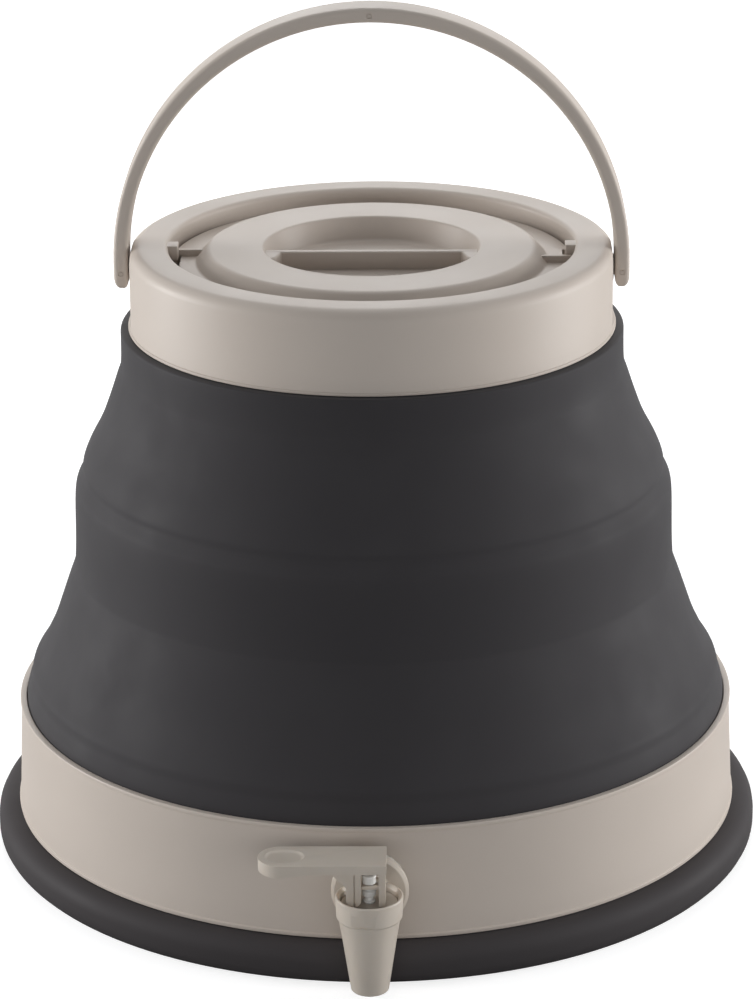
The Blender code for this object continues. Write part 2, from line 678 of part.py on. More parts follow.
def make_lid(surface):
    underside = DOME_TOP_Z - LID_WALL
    plug_inner = PLUG_RADIUS - PLUG_WALL
    lid = turned("lid", outline(
        (0, CUP_FLOOR_Z),
        (CUP_FLOOR_RADIUS, CUP_FLOOR_Z, CUP_FLOOR_ROUND),
        (CUP_RADIUS, DOME_TOP_Z, CUP_EDGE),
        (DOME_RADIUS, DOME_TOP_Z, DOME_EDGE),
        (DOME_SKIRT_RADIUS, FLANGE_TOP_Z),
        (FLANGE_RADIUS, FLANGE_TOP_Z),
        (FLANGE_RADIUS, FLANGE_BOTTOM_Z),
        (PLUG_RADIUS, FLANGE_BOTTOM_Z),
        (PLUG_RADIUS, FLANGE_BOTTOM_Z - PLUG_LENGTH),
        (plug_inner, FLANGE_BOTTOM_Z - PLUG_LENGTH),
        (plug_inner, FLANGE_BOTTOM_Z),
        (DOME_RADIUS - DOME_EDGE, underside),
        (CUP_RADIUS + LID_WALL, underside),
        (CUP_FLOOR_RADIUS + LID_WALL, CUP_FLOOR_Z - LID_WALL),
        (0, CUP_FLOOR_Z - LID_WALL),
    ), surface)
    join(lid, make_grip_web())
    stop_turn = LOCK_TURN + (TAB_WIDTH + RIB_THICKNESS + 4 * GAP) / 2 / FLANGE_RADIUS
    for name, turn in (("right", 0), ("left", math.pi)):
        rib_side = -(TAB_WIDTH / 2 + GAP + GAP)
        notch = block(
            name + "_notch",
            (FLANGE_RADIUS - NOTCH_DEPTH, rib_side, FLANGE_BOTTOM_Z - CUT_OVERRUN),
            (FLANGE_RADIUS + CUT_OVERRUN, rib_side + NOTCH_LENGTH, FLANGE_TOP_Z + CUT_OVERRUN),
        )
        notch.rotation_euler.z = turn
        cut(lid, notch)
        rib_root = (DOME_RADIUS + DOME_SKIRT_RADIUS) / 2
        rib = block(
            name + "_rib",
            (rib_root, rib_side - RIB_THICKNESS, FLANGE_TOP_Z - LID_FLANGE / 2),
            (FLANGE_RADIUS - GAP - GAP, rib_side, FLANGE_TOP_Z + RIB_HEIGHT),
        )
        rib.rotation_euler.z = turn
        join(lid, rib)
        stop = block(
            name + "_stop",
            (FLANGE_RADIUS - NOTCH_DEPTH, -RIB_THICKNESS / 2, FLANGE_TOP_Z - LID_FLANGE / 2),
            (FLANGE_RADIUS - GAP, RIB_THICKNESS / 2, FLANGE_TOP_Z + STOP_HEIGHT),
        )
        stop.rotation_euler.z = turn + stop_turn
        join(lid, stop)
    return lid


def make_grip_web():
    """The thin web across the grip cup, wider where it meets the cup's wall."""
    reach = (CUP_RADIUS + CUP_FLOOR_RADIUS + LID_WALL) / 2
    thin = WEB_THICKNESS / 2
    wide = WEB_SHOULDER_WIDTH / 2
    inner = reach - WEB_SHOULDER_LENGTH
    plan = [
        (-reach, -wide), (-inner, -thin), (inner, -thin), (reach, -wide),
        (reach, wide), (inner, thin), (-inner, thin), (-reach, wide),
    ]
    return prism("grip_web", plan, CUP_FLOOR_Z - WEB_SINK, DOME_TOP_Z - WEB_BELOW_RIM, axes=(0, 1, 2))


def make_tap_body(surface):
    body = at_tap(turned("tap_body", outline(
        (0, TAP_RIM_Z),
        (TAP_RIM_RADIUS, TAP_RIM_Z, LEVER_EDGE),
        (TAP_COLLAR_RADIUS, TAP_RIM_Z - TAP_COLLAR_DROP),
        (TAP_STEP_RADIUS, TAP_RIM_Z - TAP_STEP_DROP),
        (TAP_CONE_RADIUS, TAP_RIM_Z - TAP_CONE_DROP),
        (SPOUT_RADIUS, SPOUT_END_Z, SPOUT_EDGE),
        (0, SPOUT_END_Z),
    ), surface, TAP_SEGMENTS))
    join(body, along_tap(turned("shank_and_flange", outline(
        (0, TAP_SHANK_END),
        (TAP_SHANK_RADIUS, TAP_SHANK_END),
        (TAP_SHANK_RADIUS, TAP_FLANGE_BACK),
        (TAP_FLANGE_RADIUS, TAP_FLANGE_BACK),
        (TAP_FLANGE_RADIUS, TAP_FLANGE_FRONT, TAP_FLANGE_EDGE),
        (0, TAP_FLANGE_FRONT),
    ), segments=TAP_SEGMENTS)))
    half_facet = math.pi / TAP_SEGMENTS
    neck_start = TAP_FLANGE_BACK + TAP_FLANGE / 2
    neck = along_tap(turned("tap_neck", [
        (0, neck_start),
        (TAP_NECK_RADIUS, neck_start),
        (TAP_NECK_RADIUS, TAP_OUT - PORT_RADIUS),
        (0, TAP_OUT - PORT_RADIUS),
    ], segments=TAP_SEGMENTS), half_facet)
    neck.location.z -= TAP_NECK_DROP
    join(body, neck)
    cut(body, at_tap(turned("tap_chamber", [
        (0, TAP_RIM_Z + CUT_OVERRUN),
        (CUP_BORE_RADIUS, TAP_RIM_Z + CUT_OVERRUN),
        (CUP_BORE_RADIUS, TAP_RIM_Z - CHAMBER_TOP_DROP),
        (CHAMBER_RADIUS, TAP_RIM_Z - CHAMBER_TOP_DROP),
        (CHAMBER_RADIUS, TAP_RIM_Z - CHAMBER_BOTTOM_DROP),
        (SEAT_RADIUS, SEAT_RING_Z),
        (THROAT_RADIUS, TAP_RIM_Z - THROAT_DROP),
        (SPOUT_RADIUS - SPOUT_WALL, SPOUT_END_Z - CUT_OVERRUN),
        (0, SPOUT_END_Z - CUT_OVERRUN),
    ], segments=TAP_SEGMENTS)))
    bore_end = TAP_FLANGE_FRONT - TAP_BORE_STOP
    cut(body, along_tap(turned("shank_bore", [
        (0, TAP_SHANK_END - CUT_OVERRUN),
        (TAP_BORE_RADIUS, TAP_SHANK_END - CUT_OVERRUN),
        (TAP_BORE_RADIUS, bore_end),
        (0, bore_end),
    ], segments=TAP_SEGMENTS), half_facet))
    port_start = (TAP_FLANGE_BACK + bore_end) / 2
    port = along_tap(turned("tap_port", [
        (0, port_start),
        (PORT_RADIUS, port_start),
        (PORT_RADIUS, TAP_OUT - PORT_RADIUS),
        (0, TAP_OUT - PORT_RADIUS),
    ], segments=TAP_SEGMENTS // 2))
    port.location.z = TAP_RIM_Z - PORT_DROP
    cut(body, port)
    return body


def make_ring_along_tap(name, inner, outer, start, end, surface):
    """A ring round the tap's shank, between two distances from the middle of the carrier."""
    points = [(inner, start), (outer, start), (outer, end), (inner, end)]
    return along_tap(turned(name, points, surface, TAP_SEGMENTS))


def make_outer_gasket(surface):
    """The soft ring behind the flange, whose back follows the round band."""
    gasket = make_ring_along_tap(
        "tap_outer_gasket", TAP_SHANK_RADIUS + SHANK_CLEARANCE, TAP_GASKET_RADIUS,
        TAP_FLANGE_BACK - GAP - TAP_GASKET - TAP_FLANGE, TAP_FLANGE_BACK - GAP, surface,
    )
    cut(gasket, turned("band_envelope", [
        (0, BAND_BOTTOM_Z),
        (BAND_BOTTOM_RADIUS + GAP, BAND_BOTTOM_Z),
        (BAND_TOP_RADIUS + GAP, BAND_TOP_Z),
        (0, BAND_TOP_Z),
    ]))
    return gasket


def make_inner_gasket(surface):
    return make_ring_along_tap(
        "tap_inner_gasket", TAP_SHANK_RADIUS + SHANK_CLEARANCE, INNER_GASKET_RADIUS,
        INNER_GASKET_FRONT - INNER_GASKET, INNER_GASKET_FRONT, surface,
    )


def make_nut(surface):
    """A six-sided nut with a round bore."""
    nut = along_tap(turned("tap_nut", [
        (0, NUT_FRONT - NUT_HEIGHT),
        (NUT_RADIUS, NUT_FRONT - NUT_HEIGHT),
        (NUT_RADIUS, NUT_FRONT),
        (0, NUT_FRONT),
    ], surface, 6))
    bore = TAP_SHANK_RADIUS + SHANK_CLEARANCE
    cut(nut, along_tap(turned("nut_bore", [
        (0, NUT_FRONT - NUT_HEIGHT - CUT_OVERRUN),
        (bore, NUT_FRONT - NUT_HEIGHT - CUT_OVERRUN),
        (bore, NUT_FRONT + CUT_OVERRUN),
        (0, NUT_FRONT + CUT_OVERRUN),
    ], segments=TAP_SEGMENTS)))
    return nut


def make_gland(surface):
    bore = STEM_SHAFT_RADIUS + GAP
    boss_bottom = GLAND_BOTTOM_Z - GLAND_BOSS
    pocket = STEM_SEAL_RADIUS + GAP
    pocket_top = boss_bottom + STEM_SEAL + GAP
    return at_tap(turned("tap_gland", [
        (bore, GLAND_TOP_Z),
        (CUP_BORE_RADIUS - GAP, GLAND_TOP_Z),
        (CUP_BORE_RADIUS - GAP, GLAND_BOTTOM_Z),
        (GLAND_BOSS_RADIUS, GLAND_BOTTOM_Z),
        (GLAND_BOSS_RADIUS, boss_bottom),
        (pocket, boss_bottom),
        (pocket, pocket_top),
        (bore, pocket_top),
    ], surface, TAP_SEGMENTS))


def make_stem_seal(surface):
    low = GLAND_BOTTOM_Z - GLAND_BOSS
    inner = STEM_SHAFT_RADIUS + GAP
    return at_tap(turned("tap_stem_seal", [
        (inner, low),
        (STEM_SEAL_RADIUS, low),
        (STEM_SEAL_RADIUS, low + STEM_SEAL),
        (inner, low + STEM_SEAL),
    ], surface, TAP_SEGMENTS))


def make_stem(surface):
    """The clear stem: a grooved head over a waist, a disc that rests on the gland, and a shaft."""
    disc_low = GLAND_TOP_Z + GAP
    disc_high = disc_low + STEM_DISC
    head_low = FORK_TOP_Z + STEM_HEAD_CLEARANCE
    head_high = head_low + STEM_HEAD
    groove_middle = (head_low + head_high) / 2
    return at_tap(turned("tap_stem", [
        (0, STEM_END_Z),
        (STEM_SHAFT_RADIUS, STEM_END_Z),
        (STEM_SHAFT_RADIUS, disc_low),
        (STEM_DISC_RADIUS, disc_low),
        (STEM_DISC_RADIUS, disc_high - STEM_GROOVE),
        (STEM_DISC_RADIUS - STEM_GROOVE, disc_high),
        (STEM_WAIST_RADIUS, disc_high),
        (STEM_WAIST_RADIUS, head_low),
        (STEM_HEAD_RADIUS, head_low),
        (STEM_HEAD_RADIUS, groove_middle - STEM_GROOVE),
        (STEM_HEAD_RADIUS - STEM_GROOVE, groove_middle),
        (STEM_HEAD_RADIUS, groove_middle + STEM_GROOVE),
        (STEM_HEAD_RADIUS, head_high - STEM_GROOVE),
        (STEM_HEAD_RADIUS - STEM_GROOVE, head_high),
        (0, head_high),
    ], surface, TAP_SEGMENTS))


def make_plug(surface):
    """The soft plug, whose cone lies over the seat at the head of the spout."""
    cone_bottom = TAP_RIM_Z - CHAMBER_BOTTOM_DROP
    rise = (cone_bottom - SEAT_RING_Z) / (CHAMBER_RADIUS - SEAT_RADIUS)
    tip = SEAT_RING_Z + (TAP_PLUG_TIP_RADIUS - SEAT_RADIUS) * rise + TAP_PLUG_GAP
    shoulder = SEAT_RING_Z + (TAP_PLUG_RADIUS - SEAT_RADIUS) * rise + TAP_PLUG_GAP
    socket = STEM_SHAFT_RADIUS + GAP
    socket_floor = STEM_END_Z - GAP
    return turned("tap_plug", [
        (0, tip),
        (TAP_PLUG_TIP_RADIUS, tip),
        (TAP_PLUG_RADIUS, shoulder),
        (TAP_PLUG_RADIUS, tip + TAP_PLUG_HEIGHT),
        (socket, tip + TAP_PLUG_HEIGHT),
        (socket, socket_floor),
        (0, socket_floor),
    ], surface, TAP_SEGMENTS)


def lever_plate(surface):
    """The flat paddle seen from above: a round thumb end and a square end over the cup."""
    half = LEVER_WIDTH / 2
    steps = TAP_SEGMENTS // 2
    plan = []
    for step in range(steps + 1):
        angle = math.pi * (0.5 + step / steps)
        plan.append((half - LEVER_LEFT + half * math.cos(angle), half * math.sin(angle)))
    plan += [(LEVER_RIGHT, -half), (LEVER_RIGHT, half)]
    plate = prism("tap_lever", plan, LEVER_BOTTOM_Z, LEVER_TOP_Z, surface, axes=(0, 1, 2))
    bevel = plate.modifiers.new("soft_edge", "BEVEL")
    bevel.width = LEVER_EDGE
    bevel.segments = 2
    bevel.limit_method = "ANGLE"
    bevel.angle_limit = BEVELLED_ANGLE
    return plate


def make_lever(surface):
    """The paddle with its rocking leg, its far leg with a window, and the fork under the stem's head."""
    pivot = (-FOOT_CENTRE, -TAP_OUT, LEVER_PIVOT_Z)
    lever = lever_plate(surface)
    root_z = LEVER_BOTTOM_Z + LEVER_THICKNESS / 2
    half_leg = LEG_WIDTH / 2
    leg_left = -FOOT_CENTRE - FOOT_ROUND
    leg_right = -FOOT_CENTRE + FOOT_ROUND
    steps = TAP_SEGMENTS // 2
    foot = []
    for step in range(steps + 1):
        angle = math.pi * (1 + step / steps)
        across = -FOOT_CENTRE + FOOT_ROUND * math.cos(angle)
        foot.append((across, LEVER_PIVOT_Z + FOOT_ROUND * math.sin(angle)))
    left_leg = prism("left_leg", [
        (leg_left - GUSSET_REACH, root_z),
        (leg_left - GUSSET_REACH, LEVER_BOTTOM_Z),
        (leg_left, LEVER_BOTTOM_Z - GUSSET_DROP),
        *foot,
        (leg_right, root_z),
    ], -half_leg, half_leg)
    join(lever, left_leg)
    right_outer = LEVER_RIGHT - GAP
    right_inner = right_outer - RIGHT_LEG_THICKNESS
    right_leg = block(
        "right_leg", (right_inner, -half_leg, RIGHT_LEG_BOTTOM_Z), (right_outer, half_leg, root_z),
    )
    join(lever, right_leg)
    for name, side in (("front_tine", -1), ("back_tine", 1)):
        near = STEM_WAIST_RADIUS + FORK_CLEARANCE
        tine = block(
            name,
            (right_inner - FORK_REACH, side * near, FORK_TOP_Z - FORK_THICKNESS),
            (right_inner + RIGHT_LEG_THICKNESS / 2, side * (near + FORK_TINE), FORK_TOP_Z),
        )
        join(lever, tine)
    window = block(
        "leg_window",
        (right_inner - CUT_OVERRUN, -WINDOW_WIDTH / 2, WINDOW_BOTTOM_Z),
        (right_outer + CUT_OVERRUN, WINDOW_WIDTH / 2, WINDOW_BOTTOM_Z + WINDOW_HEIGHT),
    )
    cut(lever, window)
    dish = turned("thumb_dish", dish_outline(), segments=TAP_SEGMENTS)
    dish.location.x = DISH_FROM_END - LEVER_LEFT
    cut(lever, dish)
    for piece in [lever] + [modifier.object for modifier in lever.modifiers if modifier.type == "BOOLEAN"]:
        piece.location.y -= TAP_OUT
    for vert in lever.data.vertices:
        vert.co -= Vector((pivot[0], 0, pivot[2]))
    lever.location = pivot
    return lever


def dish_outline():
    """A shallow bowl with its rim at the paddle's top."""
    curve = (DISH_RADIUS ** 2 + DISH_DEPTH ** 2) / 2 / DISH_DEPTH
    points = []
    for step in range(ROUND_STEPS + 1):
        radius = DISH_RADIUS * step / ROUND_STEPS
        rise = curve - math.sqrt(curve ** 2 - radius ** 2)
        points.append((radius, LEVER_TOP_Z - DISH_DEPTH + rise))
    return points + [
        (DISH_RADIUS, LEVER_TOP_Z + CUT_OVERRUN),
        (0, LEVER_TOP_Z + CUT_OVERRUN),
    ]


def main():
    for piece in list(bpy.data.objects):
        bpy.data.objects.remove(piece)

    stone = material("stone_plastic", "c4bbb3", 0.42)
    tap_stone = material("tap_plastic", "b0a79e", 0.36)
    charcoal = material("charcoal_plastic", "3b3839", 0.5)
    soft_wall = material("charcoal_soft_wall", "3d3b3c", 0.62)
    rubber = material("seal_rubber", "d8d4cc", 0.6)
    clear = material("clear_plastic", "e4e6e4", 0.12, transmission=0.8)
    ring_plastic = material("ring_plastic", "8f8982", 0.5)

    make_base_pan(charcoal)
    make_base_seal(rubber)
    make_base_band(stone)
    make_bellows(soft_wall)
    make_lower_ring(ring_plastic)

    collar = make_top_collar(stone)
    make_upper_ring(ring_plastic).parent = collar
    make_handle(stone).parent = collar
    gasket = make_lid_gasket(rubber)
    gasket.parent = collar
    make_lid(stone).parent = gasket

    make_tap_body(tap_stone)
    make_outer_gasket(rubber)
    make_inner_gasket(rubber)
    make_nut(ring_plastic)
    make_gland(tap_stone)
    make_stem_seal(rubber)
    stem = make_stem(clear)
    make_plug(rubber).parent = stem
    make_lever(tap_stone)


main()
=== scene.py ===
"""Looks of the collapsible water carrier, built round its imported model.

Metres, +Z up, tap to -Y. The tables of outlines are in millimetres.
"""
import json
import math

import bmesh
import bpy
from mathutils import Euler, Matrix, Vector


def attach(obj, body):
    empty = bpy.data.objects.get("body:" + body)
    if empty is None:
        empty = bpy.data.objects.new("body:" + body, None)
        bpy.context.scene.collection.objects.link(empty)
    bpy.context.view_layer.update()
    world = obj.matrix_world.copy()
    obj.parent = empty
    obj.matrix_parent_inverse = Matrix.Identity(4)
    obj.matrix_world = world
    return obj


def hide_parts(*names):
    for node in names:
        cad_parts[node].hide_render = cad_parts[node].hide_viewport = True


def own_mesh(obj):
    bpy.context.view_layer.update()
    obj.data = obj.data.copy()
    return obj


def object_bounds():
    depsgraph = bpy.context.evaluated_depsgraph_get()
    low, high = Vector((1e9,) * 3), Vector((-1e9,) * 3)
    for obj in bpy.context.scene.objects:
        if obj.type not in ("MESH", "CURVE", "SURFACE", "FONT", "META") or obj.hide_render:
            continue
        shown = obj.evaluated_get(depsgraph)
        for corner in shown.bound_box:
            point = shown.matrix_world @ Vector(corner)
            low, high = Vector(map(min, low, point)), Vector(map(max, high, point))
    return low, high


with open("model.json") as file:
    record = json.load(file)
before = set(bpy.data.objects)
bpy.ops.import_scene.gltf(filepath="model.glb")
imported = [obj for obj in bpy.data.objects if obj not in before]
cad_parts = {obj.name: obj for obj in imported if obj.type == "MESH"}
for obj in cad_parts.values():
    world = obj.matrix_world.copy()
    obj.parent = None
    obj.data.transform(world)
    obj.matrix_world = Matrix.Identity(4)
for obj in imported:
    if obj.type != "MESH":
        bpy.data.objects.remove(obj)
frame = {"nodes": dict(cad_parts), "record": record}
CAD_LOW, CAD_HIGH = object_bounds()

bl_info = {
    "name": "Water Carrier Pieces",
    "version": (1, 0, 0),
    "blender": (4, 5, 0),
    "location": "3D View > Sidebar > Carrier",
    "description": "Pieces, finishes and studio of a collapsible water carrier",
    "category": "Object",
}

MM = 0.001

# Sides of the turned shapes
BODY_STEPS = 160
RIM_STEPS = 192
TAP_STEPS = 64
PIN_STEPS = 48
STEM_STEPS = 40
MARK_STEPS = 24

# Outside of the folding wall, bottom to top: (radius, height)
WALL_OUTLINE = (
    (136.9, 58.2), (136.8, 60.0), (136.3, 62.2), (135.7, 64.2), (135.1, 66.0), (134.8, 67.4),
    (134.5, 69.0), (133.9, 70.6), (132.6, 72.6), (130.8, 75.4), (128.9, 79.0), (125.6, 86.1),
    (122.1, 96.0), (119.3, 104.0), (117.6, 108.6), (116.9, 110.8), (116.4, 112.6), (116.2, 115.0),
    (115.9, 120.0), (115.7, 127.0), (115.5, 138.0), (115.2, 142.6), (114.7, 145.2), (113.6, 147.4),
    (112.5, 149.5), (112.1, 151.0), (112.0, 152.8), (111.5, 154.6), (110.2, 157.8), (108.5, 161.2),
    (106.4, 165.0), (104.0, 170.0), (101.0, 178.0), (98.3, 186.0), (97.2, 189.0), (96.6, 190.9),
    (96.3, 192.8), (96.1, 196.0), (96.0, 203.0),
)
WALL_THICKNESS = 2.2
WALL_FOOT_HEIGHT = 58.2
WALL_NECK_HEIGHT = 203.0

# The bail's half circle, and the pivot pins that lie a little below its centre
PIVOT_HEIGHT = 228.0
BAIL_DROP = 3.9
BAIL_CENTRE_HEIGHT = 231.9
BAIL_INSIDE_RADIUS = 92.1
BAIL_EDGE_ROUND = 1.6
# Its tips: how far each step goes round, and the share of the tip that keeps the full thickness
TIP_STEPS = 13
TIP_STEP_ANGLE = 6.4
TIP_START = 0.22

# The stops on the lid's flange, in degrees from the notches
STOP_TURN = 63.8

# The tap's upright axis, in front of the carrier's, and the height of its shank
TAP_OUT = 159.0
SHANK_HEIGHT = 36.4


def linear_colour(hex_colour):
    """An sRGB hex colour as linear red, green, blue and one for alpha."""
    parts = [int(hex_colour[start:start + 2], 16) / 255 for start in (1, 3, 5)]
    return tuple([p / 12.92 if p <= 0.04045 else ((p + 0.055) / 1.055) ** 2.4 for p in parts] + [1.0])


# ---------------------------------------------------------------- sizes and colours

def length(name, description, default):
    """A length that a user may change, given in millimetres."""
    return bpy.props.FloatProperty(
        name=name, description=description, default=default * MM, min=0.0, unit="LENGTH", precision=5,
    )


def colour(name, description, hex_colour):
    """A finish colour that a user may change."""
    return bpy.props.FloatVectorProperty(
        name=name, description=description, default=linear_colour(hex_colour), size=4,
        min=0.0, max=1.0, subtype="COLOR",
    )


class CarrierSizes(bpy.types.PropertyGroup):
    """Sizes of the larger pieces"""

    foot_radius: length("Foot radius", "Outside radius of the dark foot rim", CAD_HIGH.x / MM)
    foot_height: length("Foot height", "Height of the dark foot rim", 14.8)
    band_radius: length("Band radius", "Outside radius of the light band at its bottom", 141.1)
    band_top: length("Band top", "Height of the light band's top edge", 58.2)
    collar_radius: length("Collar radius", "Outside radius of the collar", 92.5)
    collar_bottom: length("Collar bottom", "Height of the collar's bottom edge", 206.8)
    collar_top: length("Collar top", "Height of the collar's top face", 238.4)
    mouth_radius: length("Mouth radius", "Radius of the recess that holds the lid", 77.2)
    bail_width: length("Bail width", "Width of the bail's strip", 15.0)
    bail_thickness: length("Bail thickness", "Thickness of the bail's strip", 5.6)
    edge_round: length("Edge round", "Round of the small moulded edges", 0.35)


class CarrierColours(bpy.types.PropertyGroup):
    """Colours of the finishes"""

    stone: colour("Stone", "Band, collar, lid and bail", "#c8bdb3")
    tap_stone: colour("Tap", "Tap body and lever", "#cac0b4")
    charcoal: colour("Foot", "Dark pan and foot rim", "#403d3e")
    soft_wall: colour("Folding wall", "Soft folding wall", "#383638")
    seal: colour("Seals", "Gaskets, plug and base seal", "#d8d4cc")
    ring: colour("Inner rings", "Retaining rings and tap nut", "#8f8982")
    clear: colour("Clear stem", "Tint of the clear tap stem", "#f6f6f4")
    ground: colour("Ground", "Floor and background", "#ffffff")


# ---------------------------------------------------------------- finishes

# Most of a noise lies between these, and a skin's roughness wanders by the spread to either side
NOISE_LOW = 0.3
NOISE_HIGH = 0.7
ROUGHNESS_SPREAD = 0.05


def add_node(tree, kind, settings=None, inputs=None):
    """Add a node, set its settings, and set or link its inputs."""
    node = tree.nodes.new(kind)
    for key, value in (settings or {}).items():
        setattr(node, key, value)
    for key, value in (inputs or {}).items():
        if isinstance(value, bpy.types.NodeSocket):
            tree.links.new(value, node.inputs[key])
        else:
            node.inputs[key].default_value = value
    return node


def empty_finish(name, viewport_colour):
    """A node material with only its output, and that output's tree."""
    finish = bpy.data.materials.new(name)
    finish.use_nodes = True
    finish.node_tree.nodes.clear()
    finish.diffuse_color = viewport_colour
    return finish, finish.node_tree


def shade(base, factor):
    """A colour made lighter or darker by a factor."""
    return tuple([min(1.0, part * factor) for part in base[:3]] + [1.0])


def moulded_finish(name, base, roughness, grain_mm, grain_depth_mm, cloud_mm, cloud, settings):
    """A moulded skin: spark grain as bump, faint clouds in the colour, and a roughness that wanders.

    The grain and the clouds are given by their sizes, and cloud is how much the colour changes.
    """
    finish, tree = empty_finish(name, base)
    place = add_node(tree, "ShaderNodeTexCoord")
    clouds = add_node(tree, "ShaderNodeTexNoise", None, {
        "Vector": place.outputs["Object"], "Scale": 1 / (cloud_mm * MM), "Detail": 3.0, "Roughness": 0.55,
    })
    tint = add_node(tree, "ShaderNodeMix", {"data_type": "RGBA"}, {
        "Factor": clouds.outputs["Fac"], "A": shade(base, 1 - cloud), "B": shade(base, 1 + cloud),
    })
    grain = add_node(tree, "ShaderNodeTexNoise", None, {
        "Vector": place.outputs["Object"], "Scale": 1 / (grain_mm * MM), "Detail": 4.0, "Roughness": 0.6,
    })
    gloss = add_node(tree, "ShaderNodeMapRange", None, {
        "Value": clouds.outputs["Fac"], "From Min": NOISE_LOW, "From Max": NOISE_HIGH,
        "To Min": roughness - ROUGHNESS_SPREAD, "To Max": roughness + ROUGHNESS_SPREAD,
    })
    bump = add_node(tree, "ShaderNodeBump", None, {
        "Height": grain.outputs["Fac"], "Strength": 0.6, "Distance": grain_depth_mm * MM,
    })
    shader = add_node(tree, "ShaderNodeBsdfPrincipled", None, {
        "Base Color": tint.outputs["Result"], "Roughness": gloss.outputs["Result"],
        "Normal": bump.outputs["Normal"], **settings,
    })
    add_node(tree, "ShaderNodeOutputMaterial", None, {"Surface": shader.outputs["BSDF"]})
    return finish


def stone_polypropylene(colours):
    # Polypropylene from a finely spark-eroded mould: satin, slightly waxy, no sharp reflections.
    # The 0.3 mm grain is drawn at 0.7 mm so that it shows.
    return moulded_finish(
        "satin_moulded_polypropylene_stone", colours.stone[:], 0.44, 0.7, 0.035, 38.0, 0.022,
        {"IOR": 1.49, "Specular IOR Level": 0.3},
    )


def tap_polypropylene(colours):
    # Unfilled polypropylene from a polished mould: smoother, a little see-through at thin edges.
    return moulded_finish(
        "smooth_moulded_polypropylene_tap", colours.tap_stone[:], 0.34, 0.9, 0.02, 9.0, 0.03,
        {"IOR": 1.49, "Subsurface Weight": 0.12, "Subsurface Radius": (0.002, 0.0015, 0.001),
         "Subsurface Scale": 1.0},
    )


def charcoal_polypropylene(colours):
    # Carbon-black polypropylene: even and dark, almost matt, with a faint gleam along its rounds.
    return moulded_finish(
        "satin_moulded_polypropylene_charcoal", colours.charcoal[:], 0.66, 0.7, 0.04, 30.0, 0.05,
        {"IOR": 1.49, "Specular IOR Level": 0.12},
    )


def soft_elastomer(colours):
    # Thermoplastic elastomer: matt and dry, with a thin bloom at grazing angles and slow mottling.
    return moulded_finish(
        "matt_moulded_elastomer_wall", colours.soft_wall[:], 0.68, 0.9, 0.03, 24.0, 0.06,
        {"IOR": 1.5, "Specular IOR Level": 0.15, "Sheen Weight": 0.05, "Sheen Roughness": 0.5},
    )


def seal_silicone(colours):
    # Translucent white silicone: soft, milky, slightly glossy.
    return moulded_finish(
        "moulded_silicone_seal", colours.seal[:], 0.4, 1.2, 0.02, 12.0, 0.03,
        {"IOR": 1.41, "Subsurface Weight": 0.2, "Subsurface Radius": (0.003, 0.003, 0.0025),
         "Subsurface Scale": 1.0},
    )


def ring_polypropylene(colours):
    # Talc-filled polypropylene of the hidden rings: dull grey with a chalky bloom.
    return moulded_finish(
        "chalky_moulded_polypropylene_ring", colours.ring[:], 0.6, 0.8, 0.05, 15.0, 0.05, {"IOR": 1.49},
    )


def clear_polystyrene(colours):
    # Clear polystyrene from a polished mould: glassy, with faint flow lines inside. Standing in the cup
    # it looks milky, so only part of the light goes through.
    finish, tree = empty_finish("clear_polystyrene_stem", colours.clear[:])
    place = add_node(tree, "ShaderNodeTexCoord")
    flow = add_node(tree, "ShaderNodeTexNoise", None, {
        "Vector": place.outputs["Object"], "Scale": 1 / (2.5 * MM), "Detail": 2.0,
    })
    gloss = add_node(tree, "ShaderNodeMapRange", None, {
        "Value": flow.outputs["Fac"], "From Min": NOISE_LOW, "From Max": NOISE_HIGH,
        "To Min": 0.08, "To Max": 0.18,
    })
    bump = add_node(tree, "ShaderNodeBump", None, {
        "Height": flow.outputs["Fac"], "Strength": 0.5, "Distance": 0.04 * MM,
    })
    shader = add_node(tree, "ShaderNodeBsdfPrincipled", None, {
        "Base Color": colours.clear[:], "Roughness": gloss.outputs["Result"], "IOR": 1.59,
        "Transmission Weight": 0.28, "Normal": bump.outputs["Normal"],
    })
    add_node(tree, "ShaderNodeOutputMaterial", None, {"Surface": shader.outputs["BSDF"]})
    return finish


FINISHES = {
    "stone_plastic": stone_polypropylene,
    "tap_plastic": tap_polypropylene,
    "charcoal_plastic": charcoal_polypropylene,
    "soft_wall": soft_elastomer,
    "seal_rubber": seal_silicone,
    "ring_plastic": ring_polypropylene,
    "clear_plastic": clear_polystyrene,
}
made_finishes = {}


def finish_of(slot_name):
    """The finish of a material slot, made once."""
    if slot_name not in made_finishes:
        made_finishes[slot_name] = FINISHES[slot_name](bpy.context.scene.carrier_colours)
    return made_finishes[slot_name]


# ---------------------------------------------------------------- modelling by hand

MERGE_DISTANCE = 0.002


def clear_selection():
    """Deselect everything."""
    for piece in bpy.context.selected_objects:
        piece.select_set(False)


def take(piece):
    """Select one piece alone and make it active."""
    clear_selection()
    piece.select_set(True)
    bpy.context.view_layer.objects.active = piece


def edit(piece, kind="VERT"):
    """Open a piece in edit mode, with vertices, edges or faces to select."""
    take(piece)
    bpy.ops.object.mode_set(mode="EDIT")
    bpy.ops.mesh.select_mode(type=kind)


